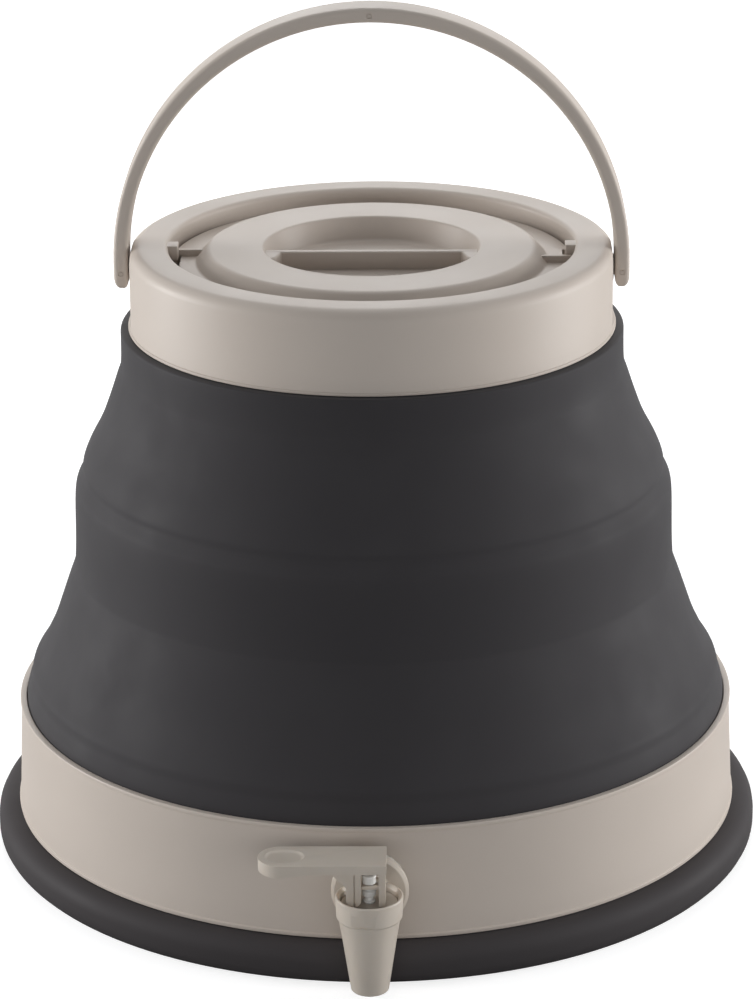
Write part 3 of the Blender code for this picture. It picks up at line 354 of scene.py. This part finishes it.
def rounded(corners, steps=4):
    """Corners as (across, up) or (across, up, fillet), each fillet as a short arc."""
    points = []
    for index, corner in enumerate(corners):
        here = Vector(corner[:2])
        if len(corner) == 2:
            points.append((here.x, here.y))
            continue
        fillet = corner[2]
        before = (Vector(corners[index - 1][:2]) - here).normalized()
        after = (Vector(corners[(index + 1) % len(corners)][:2]) - here).normalized()
        half = before.angle(after) / 2
        centre = here + (before + after).normalized() * (fillet / math.sin(half))
        first = here + before * (fillet / math.tan(half)) - centre
        last = here + after * (fillet / math.tan(half)) - centre
        start = math.atan2(first.y, first.x)
        turn = (math.atan2(last.y, last.x) - start + math.pi) % math.tau - math.pi
        for step in range(steps + 1):
            angle = start + turn * step / steps
            points.append((centre.x + fillet * math.cos(angle), centre.y + fillet * math.sin(angle)))
    return points


def smoothed(points, parts=3):
    """More points on a soft curve through the given ones."""
    result = []
    for index in range(len(points) - 1):
        before = Vector(points[max(index - 1, 0)])
        here = Vector(points[index])
        there = Vector(points[index + 1])
        beyond = Vector(points[min(index + 2, len(points) - 1)])
        for part in range(parts):
            t = part / parts
            curve = (
                2 * here + (there - before) * t + (2 * before - 5 * here + 4 * there - beyond) * t ** 2
                + (3 * here - before - 3 * there + beyond) * t ** 3
            ) / 2
            result.append((curve.x, curve.y))
    return result + [tuple(points[-1])]


def close_up():
    """Merge doubles, fill open ends, point all faces outwards, and go back to object mode."""
    bpy.ops.mesh.select_all(action="SELECT")
    bpy.ops.mesh.remove_doubles(threshold=MERGE_DISTANCE * MM)
    bpy.ops.mesh.fill_holes(sides=0)
    bpy.ops.mesh.select_all(action="SELECT")
    bpy.ops.mesh.normals_make_consistent(inside=False)
    bpy.ops.object.mode_set(mode="OBJECT")


def turned(name, outline, steps=BODY_STEPS):
    """A ring of edges extruded and resized from point to point of a (radius, height) outline."""
    clear_selection()
    radius, height = outline[0]
    bpy.ops.mesh.primitive_circle_add(vertices=steps, radius=radius * MM, fill_type="NOTHING")
    piece = bpy.context.active_object
    piece.name = name
    edit(piece)
    bpy.ops.mesh.select_all(action="SELECT")
    bpy.ops.transform.translate(value=(0, 0, height * MM))
    for next_radius, next_height in outline[1:]:
        rise = (next_height - height) * MM
        bpy.ops.mesh.extrude_edges_move(TRANSFORM_OT_translate={"value": (0, 0, rise)})
        share = next_radius / radius
        bpy.ops.transform.resize(value=(share, share, 1), center_override=(0, 0, 0))
        radius, height = next_radius, next_height
    close_up()
    return piece


def drawn(name, outline, start, end, turn=(0, 0, 0)):
    """A flat outline filled and extruded along Z from start to end, then turned."""
    clear_selection()
    bpy.ops.mesh.primitive_circle_add(vertices=len(outline), radius=MM, fill_type="NGON")
    piece = bpy.context.active_object
    piece.name = name
    for vertex, point in zip(piece.data.vertices, outline):
        vertex.co = Vector((point[0], point[1], start)) * MM
    edit(piece, "FACE")
    bpy.ops.mesh.select_all(action="SELECT")
    bpy.ops.mesh.extrude_region_move(TRANSFORM_OT_translate={"value": (0, 0, (end - start) * MM)})
    close_up()
    return put(piece, turn)


def put(piece, turn=(0, 0, 0), place=(0, 0, 0)):
    """Turn a piece in degrees, move it in millimetres, and apply both."""
    take(piece)
    piece.rotation_euler = Euler([math.radians(angle) for angle in turn])
    piece.location = Vector(place) * MM
    bpy.ops.object.transform_apply(location=True, rotation=True, scale=True)
    return piece


def along_tap(piece, height):
    """Lay a turned piece down so that its height runs forwards from the carrier's axis."""
    return put(piece, (90, 0, 0), (0, 0, height))


def combine(piece, tool, operation):
    """Join, cut or intersect with a tool, which is then used up."""
    modifier = piece.modifiers.new("shape", "BOOLEAN")
    modifier.operation = operation
    modifier.solver = "EXACT"
    modifier.object = tool
    take(piece)
    bpy.ops.object.modifier_apply(modifier=modifier.name)
    bpy.data.objects.remove(tool)


def soften(piece, width, segments=2, angle=35):
    """Round the edges of a piece that are sharper than an angle in degrees."""
    modifier = piece.modifiers.new("soft_edges", "BEVEL")
    modifier.width = width * MM
    modifier.segments = segments
    modifier.limit_method = "ANGLE"
    modifier.angle_limit = math.radians(angle)
    modifier.use_clamp_overlap = True
    take(piece)
    bpy.ops.object.modifier_apply(modifier=modifier.name)
    return piece


def dress(piece, slot_name, body, *nodes, angle=32):
    """Shade a piece, give it its finish, and let it ride on its body in place of the CAD nodes."""
    take(piece)
    bpy.ops.object.shade_smooth_by_angle(angle=math.radians(angle))
    piece.data.materials.clear()
    piece.data.materials.append(finish_of(slot_name))
    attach(piece, body)
    if nodes:
        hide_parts(*nodes)
    clear_selection()


# ---------------------------------------------------------------- base

def make_foot_pan(sizes):
    """The dark pan, open at the top, with its rounded foot rim and a gate point under its middle."""
    foot = sizes.foot_radius / MM
    top = sizes.foot_height / MM
    pan = turned("foot_pan", rounded([
        (3.0, 0.3), (5.0, 0.3, 0.1), (5.2, 0, 0.1), (foot - 12.2, 0, 0.6), (foot - 12.2, 11.0, 0.8),
        (foot - 7.6, 11.0, 0.8), (foot - 7.6, 0, 0.6), (foot, 0, 5.0), (foot, top, 6.2),
        (138.4, top, 0.3), (138.4, 21.8, 0.4), (134.9, 21.8, 0.4), (134.9, 2.6, 1.2), (3.0, 2.6),
    ], 5))
    dress(pan, "charcoal_plastic", "base", "base_pan")


def make_light_band(sizes):
    """The light band with a thin raised rim at its top and its bottom, and the hole for the tap."""
    low = sizes.foot_height / MM + 0.3
    top = sizes.band_top / MM
    radius = sizes.band_radius / MM
    edge = sizes.edge_round / MM
    band = turned("light_band", rounded([
        (radius - 2.0, low), (radius + 0.5, low, edge), (radius + 0.5, low + 1.4, edge),
        (radius - 0.06, low + 1.7, 0.1), (radius - 1.84, top - 1.7, 0.1), (radius - 1.4, top - 1.4, edge),
        (radius - 1.4, top, edge), (radius - 3.9, top, edge), (radius - 3.6, top - 7.9),
        (radius - 8.0, top - 7.9), (radius - 8.0, top - 9.3), (radius - 3.5, top - 9.3), (radius - 2.0, low),
    ], 4), RIM_STEPS)
    hole = along_tap(turned("band_hole", [(8.4, 126.0), (8.4, 146.0)], TAP_STEPS), SHANK_HEIGHT)
    combine(band, hole, "DIFFERENCE")
    dress(band, "stone_plastic", "base", "base_band")


class CARRIER_OT_base(bpy.types.Operator):
    """Add the dark pan with its foot rim, and the light band above it"""

    bl_idname = "carrier.base"
    bl_label = "Pan and Band"

    def execute(self, context):
        make_foot_pan(context.scene.carrier_sizes)
        make_light_band(context.scene.carrier_sizes)
        return {"FINISHED"}


# ---------------------------------------------------------------- folding wall

def make_folding_wall():
    """The soft wall between the foot and the neck, which folds down on the carrier when the collar goes down;
    here it is turned at its full height.
    """
    outside = smoothed(WALL_OUTLINE)
    inside = [(radius - WALL_THICKNESS, height) for radius, height in outside[::-1]]
    wall = turned("folding_wall", outside + inside + outside[:1], RIM_STEPS)
    dress(wall, "soft_wall", "base", "bellows", angle=60)
    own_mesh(wall)


def make_wall_ends():
    """The wall's foot, which stays in the band, and its neck, which goes with the collar."""
    foot = turned("wall_foot", [
        (136.9, 50.6), (136.9, WALL_FOOT_HEIGHT), (134.7, WALL_FOOT_HEIGHT), (134.7, 50.6), (136.9, 50.6),
    ])
    dress(foot, "soft_wall", "base")
    neck = turned("wall_neck", rounded([
        (93.8, WALL_NECK_HEIGHT), (96.0, WALL_NECK_HEIGHT), (96.0, 206.5, 0.9), (89.9, 206.5), (89.9, 217.7),
        (87.7, 217.7), (87.7, 203.5, 1.0), (93.8, WALL_NECK_HEIGHT),
    ]))
    dress(neck, "soft_wall", "collar")


class CARRIER_OT_folding_wall(bpy.types.Operator):
    """Add the soft folding wall, with its foot in the band and its neck in the collar"""

    bl_idname = "carrier.folding_wall"
    bl_label = "Folding Wall"

    def execute(self, context):
        make_folding_wall()
        make_wall_ends()
        return {"FINISHED"}


# ---------------------------------------------------------------- collar and bail

def make_collar(sizes):
    """The collar with a flat and a pivot pin on either side, and two tabs over the lid's flange."""
    low = sizes.collar_bottom / MM
    top = sizes.collar_top / MM
    radius = sizes.collar_radius / MM
    mouth = sizes.mouth_radius / MM
    edge = sizes.edge_round / MM
    collar = turned("collar_shell", rounded([
        (radius - 2.3, low), (radius + 0.5, low, edge), (radius + 0.5, low + 1.0, edge),
        (radius, low + 1.3, 0.1), (radius - 0.3, top, 4.8), (mouth, top, 1.9), (mouth - 0.4, top - 11.8, 0.5),
        (68.6, top - 11.8, 0.5), (68.6, 217.0, 0.4), (70.8, 217.0, 0.4), (70.8, 224.2), (mouth + 2.2, 224.2),
        (mouth + 2.2, top - 2.3), (radius - 3.5, top - 2.3), (radius - 3.5, 219.9), (radius - 2.3, 219.9),
        (radius - 2.3, low),
    ], 5), RIM_STEPS)
    for side in (-1, 1):
        flat = drawn("flat", [(-17.5, 209.2), (17.5, 209.2), (17.5, top + 2), (-17.5, top + 2)],
                     91.0, 97.0, (90, 0, 90 * side))
        combine(collar, flat, "DIFFERENCE")
    soften(collar, 0.3)
    for side in (-1, 1):
        pin = turned("pin", rounded([
            (5.2, 90.0), (5.2, 91.8, 0.3), (3.0, 91.8, 0.2), (3.0, 95.6, 0.5), (1.0, 95.6),
        ], 3), PIN_STEPS)
        combine(collar, put(pin, (0, 90 * side, 0), (0, 0, PIVOT_HEIGHT)), "UNION")
        tab = drawn("tab", rounded([
            (73.4, -3.5, 0.5), (78.3, -3.5), (78.3, 3.5), (73.4, 3.5, 0.5),
        ], 3), 232.0, 237.6)
        combine(collar, put(soften(tab, 0.3), (0, 0, 90 - 90 * side)), "UNION")
    dress(collar, "stone_plastic", "collar", "top_collar")


def make_bail(sizes):
    """The bail: a rounded strip spun half round, with a bore in each end and three ring-shaped marks."""
    half_width = sizes.bail_width / 2
    half_thickness = sizes.bail_thickness / 2
    radius = BAIL_INSIDE_RADIUS * MM + half_thickness
    centre = Vector((0, 0, BAIL_CENTRE_HEIGHT * MM))
    clear_selection()
    bpy.ops.mesh.primitive_plane_add(size=1)
    bail = bpy.context.active_object
    bail.name = "bail_strip"
    edit(bail, "FACE")
    bpy.ops.mesh.select_all(action="SELECT")
    bpy.ops.transform.resize(value=(half_thickness * 2, half_width * 2, 1))
    bpy.ops.mesh.bevel(offset=BAIL_EDGE_ROUND * MM, segments=5, affect="VERTICES")
    bpy.ops.transform.translate(value=(-radius, 0, centre.z))
    bpy.ops.mesh.spin(steps=72, angle=math.pi, use_auto_merge=False, center=centre, axis=(0, -1, 0))
    for side in (-1, 1):
        round_bail_end(bail, side, radius, half_width)
    close_up()
    for side in (-1, 1):
        bore = turned("bore", [(3.3, 90.0), (3.3, 96.2)], PIN_STEPS)
        combine(bail, put(bore, (0, 90 * side, 0), (0, 0, PIVOT_HEIGHT)), "DIFFERENCE")
    for across, up in ((-1, PIVOT_HEIGHT), (1, PIVOT_HEIGHT), (0, BAIL_CENTRE_HEIGHT + radius / MM)):
        mark = turned("gate_mark", [
            (0.6, 7.0), (1.15, 7.0), (1.15, 9.0), (0.6, 9.0), (0.6, 7.0),
        ], MARK_STEPS)
        combine(bail, put(mark, (90, 0, 0), (across * radius / MM, 0, up)), "DIFFERENCE")
    dress(bail, "stone_plastic", "bail", "handle")


def round_bail_end(bail, side, radius, half_width):
    """Extrude one end of the strip straight down to its pivot, then round it off."""
    mesh = bmesh.from_edit_mesh(bail.data)
    bpy.ops.mesh.select_all(action="DESELECT")
    mesh.faces.ensure_lookup_table()
    for face in mesh.faces:
        middle = face.calc_center_median()
        on_end = (
            abs(middle.z - BAIL_CENTRE_HEIGHT * MM) < 0.01 * MM and abs(middle.x - side * radius) < MM
        )
        face.select_set(on_end and abs(face.normal.z) > 0.99)
    bmesh.update_edit_mesh(bail.data)
    bpy.ops.mesh.extrude_region_move(TRANSFORM_OT_translate={"value": (0, 0, -BAIL_DROP * MM)})
    last_width = last_thickness = 1.0
    last_drop = 0.0
    for step in range(1, TIP_STEPS + 1):
        angle = math.radians(TIP_STEP_ANGLE * step)
        drop = half_width * math.sin(angle)
        width = math.cos(angle)
        below = max(0.0, (math.sin(angle) - TIP_START) / (1 - TIP_START))
        thickness = math.sqrt(1 - below ** 2)
        bpy.ops.mesh.extrude_region_move(TRANSFORM_OT_translate={"value": (0, 0, last_drop - drop)})
        bpy.ops.transform.resize(
            value=(thickness / last_thickness, width / last_width, 1), center_override=(side * radius, 0, 0),
        )
        last_width, last_thickness, last_drop = width, thickness, drop


class CARRIER_OT_collar(bpy.types.Operator):
    """Add the collar with its flats, pivot pins and lid tabs, and the bail on the pins"""

    bl_idname = "carrier.collar"
    bl_label = "Collar and Bail"

    def execute(self, context):
        make_collar(context.scene.carrier_sizes)
        make_bail(context.scene.carrier_sizes)
        return {"FINISHED"}


# ---------------------------------------------------------------- lid

def make_lid():
    """The cover with its grip cup, the web across it, and the notches, ribs and stops of its bayonet."""
    lid = turned("lid_cover", rounded([
        (1.2, 227.8), (38.0, 227.8, 1.8), (41.2, 236.9, 1.1), (62.0, 236.9, 3.2), (66.7, 231.5, 1.5),
        (76.2, 231.5, 0.4), (76.2, 229.2, 0.4), (68.0, 229.2), (68.0, 220.5, 0.4), (65.8, 220.5, 0.4),
        (65.8, 229.2), (60.4, 234.6), (43.5, 234.6), (40.3, 225.5), (1.2, 225.5),
    ], 4))
    web = drawn("web", [(-40.6, -1.5), (40.6, -1.5), (40.6, 1.5), (-40.6, 1.5)], 227.3, 234.7)
    combine(lid, soften(web, 0.5, 3), "UNION")
    for side in (-1, 1):
        shoulder = drawn("shoulder", rounded([
            (40.75 * side, 1.2), (31.0 * side, 1.2), (31.0 * side, -1.2), (34.4 * side, -1.2, 1.8),
            (36.2 * side, -8.2, 3.0), (39.2 * side, -11.4), (40.6 * side, -4.0),
        ], 5), 227.3, 234.6)
        combine(lid, soften(shoulder, 0.7, 3, 50), "UNION")
    for turn in (0, 180):
        notch = drawn("notch", [(72.6, -4.1), (79.0, -4.1), (79.0, 11.7), (72.6, 11.7)],
                      226.0, 234.0, (0, 0, turn))
        combine(lid, notch, "DIFFERENCE")
        rib = drawn("rib", [(64.3, -6.1), (75.6, -6.1), (75.6, -4.1), (64.3, -4.1)],
                    230.3, 234.1, (0, 0, turn))
        combine(lid, soften(rib, 0.3), "UNION")
        stop = drawn("stop", [(72.6, -1.0), (75.9, -1.0), (75.9, 1.0), (72.6, 1.0)],
                     230.3, 232.1, (0, 0, turn + STOP_TURN))
        combine(lid, soften(stop, 0.25), "UNION")
    gate = turned("gate", [(1.3, 227.6), (1.3, 228.6)], MARK_STEPS)
    combine(lid, put(gate, place=(0, -21.0, 0)), "DIFFERENCE")
    dress(lid, "stone_plastic", "cover", "lid")


class CARRIER_OT_lid(bpy.types.Operator):
    """Add the bayonet lid with its grip cup, web, notches, ribs and stops"""

    bl_idname = "carrier.lid"
    bl_label = "Lid"

    def execute(self, context):
        make_lid()
        return {"FINISHED"}


# ---------------------------------------------------------------- tap

def at_tap(piece):
    """Move a piece from the carrier's axis to the tap's."""
    return put(piece, place=(0, -TAP_OUT, 0))


def make_tap_body():
    """The open cup with its tapering spout, the flange with its shank, and the neck between them."""
    body = at_tap(turned("tap_shell", rounded([
        (10.5, 35.9), (10.5, 40.2, 0.4), (11.6, 41.6, 0.35), (12.2, 41.1, 0.4), (11.9, 33.4, 0.5),
        (11.1, 32.4, 0.4), (10.2, 27.0, 1.5), (6.8, 4.0, 0.8), (5.2, 4.0, 0.5), (4.6, 20.0, 0.2),
        (4.0, 22.6, 0.2), (8.4, 25.5, 0.2), (8.4, 35.9, 0.2), (10.5, 35.9),
    ], 4), TAP_STEPS))
    flange = along_tap(turned("flange", rounded([
        (5.5, 125.96), (8.0, 125.96, 0.4), (8.0, 143.36), (14.1, 143.36, 0.3), (14.1, 145.3, 0.2),
        (12.9, 146.36, 0.5), (7.6, 146.36, 0.4), (7.6, 148.6), (5.5, 148.6), (5.5, 125.96),
    ], 4), TAP_STEPS), SHANK_HEIGHT)
    neck = along_tap(turned("neck", rounded([
        (5.4, 144.9), (7.9, 144.9), (7.6, 147.5, 0.6), (7.2, 155.0), (5.4, 155.0), (5.4, 144.9),
    ], 3), TAP_STEPS), 33.4)
    combine(neck, at_tap(turned("neck_room", [(11.3, 20.0), (11.6, 45.0)], TAP_STEPS)), "DIFFERENCE")
    combine(body, flange, "UNION")
    combine(body, neck, "UNION")
    facet = drawn("facet", [(-6.0, 33.6), (6.0, 33.6), (6.0, 38.2), (-6.0, 38.2)],
                  11.25, 13.5, (90, 0, 0))
    combine(body, put(facet, (0, 0, -10), (0, -TAP_OUT, 0)), "DIFFERENCE")
    dress(body, "tap_plastic", "base", "tap_body")


def arc(centre, radius, first, last, steps):
    """Points on an arc between two angles, given as shares of a half turn."""
    angles = [math.pi * (first + (last - first) * step / steps) for step in range(steps + 1)]
    return [(centre[0] + radius * math.cos(angle), centre[1] + radius * math.sin(angle)) for angle in angles]


def make_lever():
    """The thumb paddle with a round rocking foot, a fork round the stem, a window and a shallow bowl."""
    side_outline = rounded([
        (-40.0, 56.5), (-40.0, 52.1), (-33.0, 51.7, 6.0), (-20.5, 53.1, 8.0), (-13.6, 52.3, 4.0),
        (-8.15, 46.6, 1.5), (-8.15, 41.6), *arc((-5.5, 41.6), 2.65, 1, 2, 12)[1:-1],
        (-2.85, 41.6), (-2.85, 53.3, 0.6), (3.5, 53.3, 0.6), (3.5, 39.2), (5.9, 39.2),
        (5.9, 53.3, 0.3), (6.2, 53.3), (6.2, 56.5),
    ], 5)
    lever = drawn("lever_paddle", side_outline, -8.5, 8.5, (90, 0, 0))
    plan = arc((-31.1, 0.0), 8.5, 0.5, 1.5, 24) + [(6.2, -8.5), (6.2, 8.5)]
    combine(lever, drawn("plan", plan, 30.0, 60.0), "INTERSECT")
    for side in (-1, 1):
        trim = drawn("trim", [(-12.5, 30.0), (12.5, 30.0), (12.5, 53.1), (-12.5, 53.1)],
                     5.5, 12.0, (90, 0, 90 - 90 * side))
        combine(lever, put(trim, place=(-4.5, 0, 0)), "DIFFERENCE")
    window = drawn("window", rounded([
        (-3.3, 45.9, 0.6), (3.3, 45.9, 0.6), (3.3, 51.1, 0.6), (-3.3, 51.1, 0.6),
    ], 3), 1.5, 8.0, (90, 0, 90))
    combine(lever, window, "DIFFERENCE")
    split = drawn("split", [(-5.5, 30.0), (-4.9, 30.0), (-4.9, 52.0), (-5.5, 52.0)],
                  4.6, 8.0, (90, 0, 0))
    combine(lever, split, "DIFFERENCE")
    soften(lever, 0.45, 3)
    bowl = turned("bowl", [
        (0.3, 55.45), (1.8, 55.47), (3.4, 55.58), (4.9, 55.84), (5.7, 56.12), (6.2, 56.5), (6.5, 57.2),
    ], TAP_STEPS)
    bowl.scale = (1.15, 0.95, 1.0)
    combine(lever, put(bowl, place=(-30.1, 0, 0)), "DIFFERENCE")
    for shift in (0, 5.2):
        tine = drawn("tine", [(-2.7, 44.9), (4.7, 44.9), (4.7, 46.1), (-2.7, 46.1)], 1.9, 3.3, (90, 0, 0))
        combine(lever, soften(put(tine, place=(0, shift, 0)), 0.2), "UNION")
    at_tap(lever)
    dress(lever, "tap_plastic", "lever", "tap_lever")


def make_stem():
    """The clear stem with its two discs and the ribbed head that the lever's fork lifts."""
    stem = at_tap(turned("clear_stem", rounded([
        (0.2, 24.5), (1.7, 24.5, 0.2), (1.7, 38.95), (2.3, 38.95, 0.3), (2.3, 39.7, 0.3), (1.6, 40.0, 0.3),
        (1.6, 41.1, 0.4), (2.45, 41.6, 0.3), (2.45, 43.3, 0.3), (1.5, 43.8, 0.3), (1.5, 45.9, 0.5),
        (2.6, 46.4, 0.4), (2.45, 47.9, 0.5), (2.6, 49.4, 0.5), (1.6, 49.5, 0.2), (0.2, 49.2),
    ], 4), STEM_STEPS))
    dress(stem, "clear_plastic", "valve", "tap_stem")


class CARRIER_OT_tap(bpy.types.Operator):
    """Add the tap body, its rocking lever and the clear stem"""

    bl_idname = "carrier.tap"
    bl_label = "Lever Tap"

    def execute(self, context):
        make_tap_body()
        make_lever()
        make_stem()
        return {"FINISHED"}


# ---------------------------------------------------------------- pieces kept from the frame

class CARRIER_OT_kept_finishes(bpy.types.Operator):
    """Give the rings, seals, gland, plug and nut that keep their shape their finishes"""

    bl_idname = "carrier.kept_finishes"
    bl_label = "Finishes of Kept Pieces"

    def execute(self, context):
        slots = {row["node"]: row["material_slot"] for row in frame["record"]["subparts"]}
        for name, node in frame["nodes"].items():
            if not node.hide_render:
                node.data.materials.clear()
                node.data.materials.append(finish_of(slots[name]))
        return {"FINISHED"}


# ---------------------------------------------------------------- studio

AMBIENT_COLOUR = "#dde8f4"
AMBIENT_STRENGTH = 0.1

# The floor's side in metres, its paper, and the distances over which its glow grows to full white
FLOOR_SIZE = 8
FLOOR_PAPER = "#b9b9b9"
FADE_START = 0.2
FADE_END = 0.8
NEAR_GLOW = 0.78

# Name, place, target, width and height in metres, power in watts
SOFT_LIGHTS = (
    ("left_light", (-1.25, 0.14, 0.32), (0, 0, 0.15), 0.7, 0.6, 14),
    ("right_light", (1.25, 0.14, 0.32), (0, 0, 0.15), 0.7, 0.6, 14),
    ("back_light", (0, 1.15, 0.98), (0, 0, 0.2), 0.9, 0.8, 5.4),
    ("top_light", (0, 0.32, 1.45), (0, 0, 0.2), 0.8, 0.8, 4.1),
    ("front_light", (0, -0.95, 0.27), (0, 0, 0.14), 1.3, 0.3, 2.5),
)

# The camera fitted to the photograph: lens and sensor in millimetres, place in metres, turns in radians
CAMERA_LENS = 134.94
CAMERA_SENSOR = 36.0
CAMERA_REACH = 30.0
CAMERA_PLACE = (0, -1.3696, 0.6269)
CAMERA_PITCH = -0.3453
CAMERA_YAW = -0.0011
CAMERA_ROLL = -0.0082
# Degrees round the carrier, which bring the tap to its place in the picture
CAMERA_AROUND = 1.0


def white_world(ground):
    """A faint ambient light, with the plain ground colour for the eye, reflections and clear pieces."""
    world = bpy.data.worlds.new("studio_world")
    bpy.context.scene.world = world
    world.use_nodes = True
    tree = world.node_tree
    tree.nodes.clear()
    path = add_node(tree, "ShaderNodeLightPath")
    straight = add_node(tree, "ShaderNodeMath", {"operation": "MAXIMUM"}, {
        0: path.outputs["Is Camera Ray"], 1: path.outputs["Is Transmission Ray"],
    })
    seen = add_node(tree, "ShaderNodeMath", {"operation": "MAXIMUM"}, {
        0: straight.outputs["Value"], 1: path.outputs["Is Glossy Ray"],
    })
    ambient = add_node(tree, "ShaderNodeBackground", None, {
        "Color": linear_colour(AMBIENT_COLOUR), "Strength": AMBIENT_STRENGTH,
    })
    plain = add_node(tree, "ShaderNodeBackground", None, {"Color": ground, "Strength": 1.0})
    mixed = add_node(tree, "ShaderNodeMixShader", None, {
        "Fac": seen.outputs["Value"], 1: ambient.outputs["Background"], 2: plain.outputs["Background"],
    })
    add_node(tree, "ShaderNodeOutputWorld", None, {"Surface": mixed.outputs["Shader"]})


def pale_floor(ground):
    """Paper that takes the part's shadow, with a glow for the eye that fades it out into the ground."""
    clear_selection()
    bpy.ops.mesh.primitive_plane_add(size=FLOOR_SIZE)
    floor = bpy.context.active_object
    floor.name = "studio_floor"
    finish, tree = empty_finish("seamless_paper_floor", ground)
    path = add_node(tree, "ShaderNodeLightPath")
    paper = add_node(tree, "ShaderNodeBsdfDiffuse", None, {"Color": linear_colour(FLOOR_PAPER)})
    place = add_node(tree, "ShaderNodeTexCoord")
    away = add_node(tree, "ShaderNodeVectorMath", {"operation": "LENGTH"}, {0: place.outputs["Object"]})
    fade = add_node(tree, "ShaderNodeMapRange", None, {
        "Value": away.outputs["Value"], "From Min": FADE_START, "From Max": FADE_END,
        "To Min": NEAR_GLOW, "To Max": 1.0,
    })
    level = add_node(tree, "ShaderNodeMath", {"operation": "MULTIPLY"}, {
        0: path.outputs["Is Camera Ray"], 1: fade.outputs["Result"],
    })
    glow = add_node(tree, "ShaderNodeEmission", None, {
        "Color": ground, "Strength": level.outputs["Value"],
    })
    both = add_node(tree, "ShaderNodeAddShader", None, {
        0: paper.outputs["BSDF"], 1: glow.outputs["Emission"],
    })
    add_node(tree, "ShaderNodeOutputMaterial", None, {"Surface": both.outputs["Shader"]})
    floor.data.materials.append(finish)


def soft_light(name, place, target, width, height, power):
    """A large soft light that faces its target."""
    lamp = bpy.data.lights.new(name, "AREA")
    lamp.shape = "RECTANGLE"
    lamp.size = width
    lamp.size_y = height
    lamp.energy = power
    light = bpy.data.objects.new(name, lamp)
    bpy.context.scene.collection.objects.link(light)
    light.location = place
    light.rotation_euler = (Vector(target) - Vector(place)).to_track_quat("-Z", "Y").to_euler()


def photo_camera():
    """The camera at the photograph's place, angle and field of view."""
    camera = bpy.data.cameras.new("photo_camera")
    camera.lens = CAMERA_LENS
    camera.sensor_width = CAMERA_SENSOR
    camera.clip_end = CAMERA_REACH
    holder = bpy.data.objects.new("photo_camera", camera)
    bpy.context.scene.collection.objects.link(holder)
    around = Matrix.Rotation(math.radians(CAMERA_AROUND), 4, "Z")
    turn = (
        Matrix.Rotation(CAMERA_YAW, 4, "Z") @ Matrix.Rotation(math.pi / 2 + CAMERA_PITCH, 4, "X")
        @ Matrix.Rotation(CAMERA_ROLL, 4, "Z")
    )
    holder.matrix_world = around @ Matrix.Translation(CAMERA_PLACE) @ turn
    bpy.context.scene.camera = holder


class CARRIER_OT_studio(bpy.types.Operator):
    """Add the pale floor, the soft lights and the camera"""

    bl_idname = "carrier.studio"
    bl_label = "Studio"

    def execute(self, context):
        ground = context.scene.carrier_colours.ground[:]
        context.scene.view_settings.view_transform = "Standard"
        white_world(ground)
        pale_floor(ground)
        for light in SOFT_LIGHTS:
            soft_light(*light)
        photo_camera()
        return {"FINISHED"}


# ---------------------------------------------------------------- panel and start

OPERATORS = (
    CARRIER_OT_base, CARRIER_OT_folding_wall, CARRIER_OT_collar, CARRIER_OT_lid, CARRIER_OT_tap,
    CARRIER_OT_kept_finishes, CARRIER_OT_studio,
)


class CARRIER_PT_pieces(bpy.types.Panel):
    """Sizes, colours and pieces of the water carrier"""

    bl_idname = "CARRIER_PT_pieces"
    bl_label = "Water Carrier"
    bl_space_type = "VIEW_3D"
    bl_region_type = "UI"
    bl_category = "Carrier"

    def draw(self, context):
        column = self.layout.column()
        for group in (context.scene.carrier_sizes, context.scene.carrier_colours):
            for key in group.__annotations__:
                column.prop(group, key)
        for operator in OPERATORS:
            column.operator(operator.bl_idname)


CLASSES = (CarrierSizes, CarrierColours) + OPERATORS + (CARRIER_PT_pieces,)


def register():
    for each in CLASSES:
        bpy.utils.register_class(each)
    bpy.types.Scene.carrier_sizes = bpy.props.PointerProperty(type=CarrierSizes)
    bpy.types.Scene.carrier_colours = bpy.props.PointerProperty(type=CarrierColours)


def unregister():
    del bpy.types.Scene.carrier_colours
    del bpy.types.Scene.carrier_sizes
    for each in reversed(CLASSES):
        bpy.utils.unregister_class(each)


def main():
    register()
    bpy.ops.carrier.base()
    bpy.ops.carrier.folding_wall()
    bpy.ops.carrier.collar()
    bpy.ops.carrier.lid()
    bpy.ops.carrier.tap()
    bpy.ops.carrier.kept_finishes()
    bpy.ops.carrier.studio()


if __name__ == "__main__":
    main()
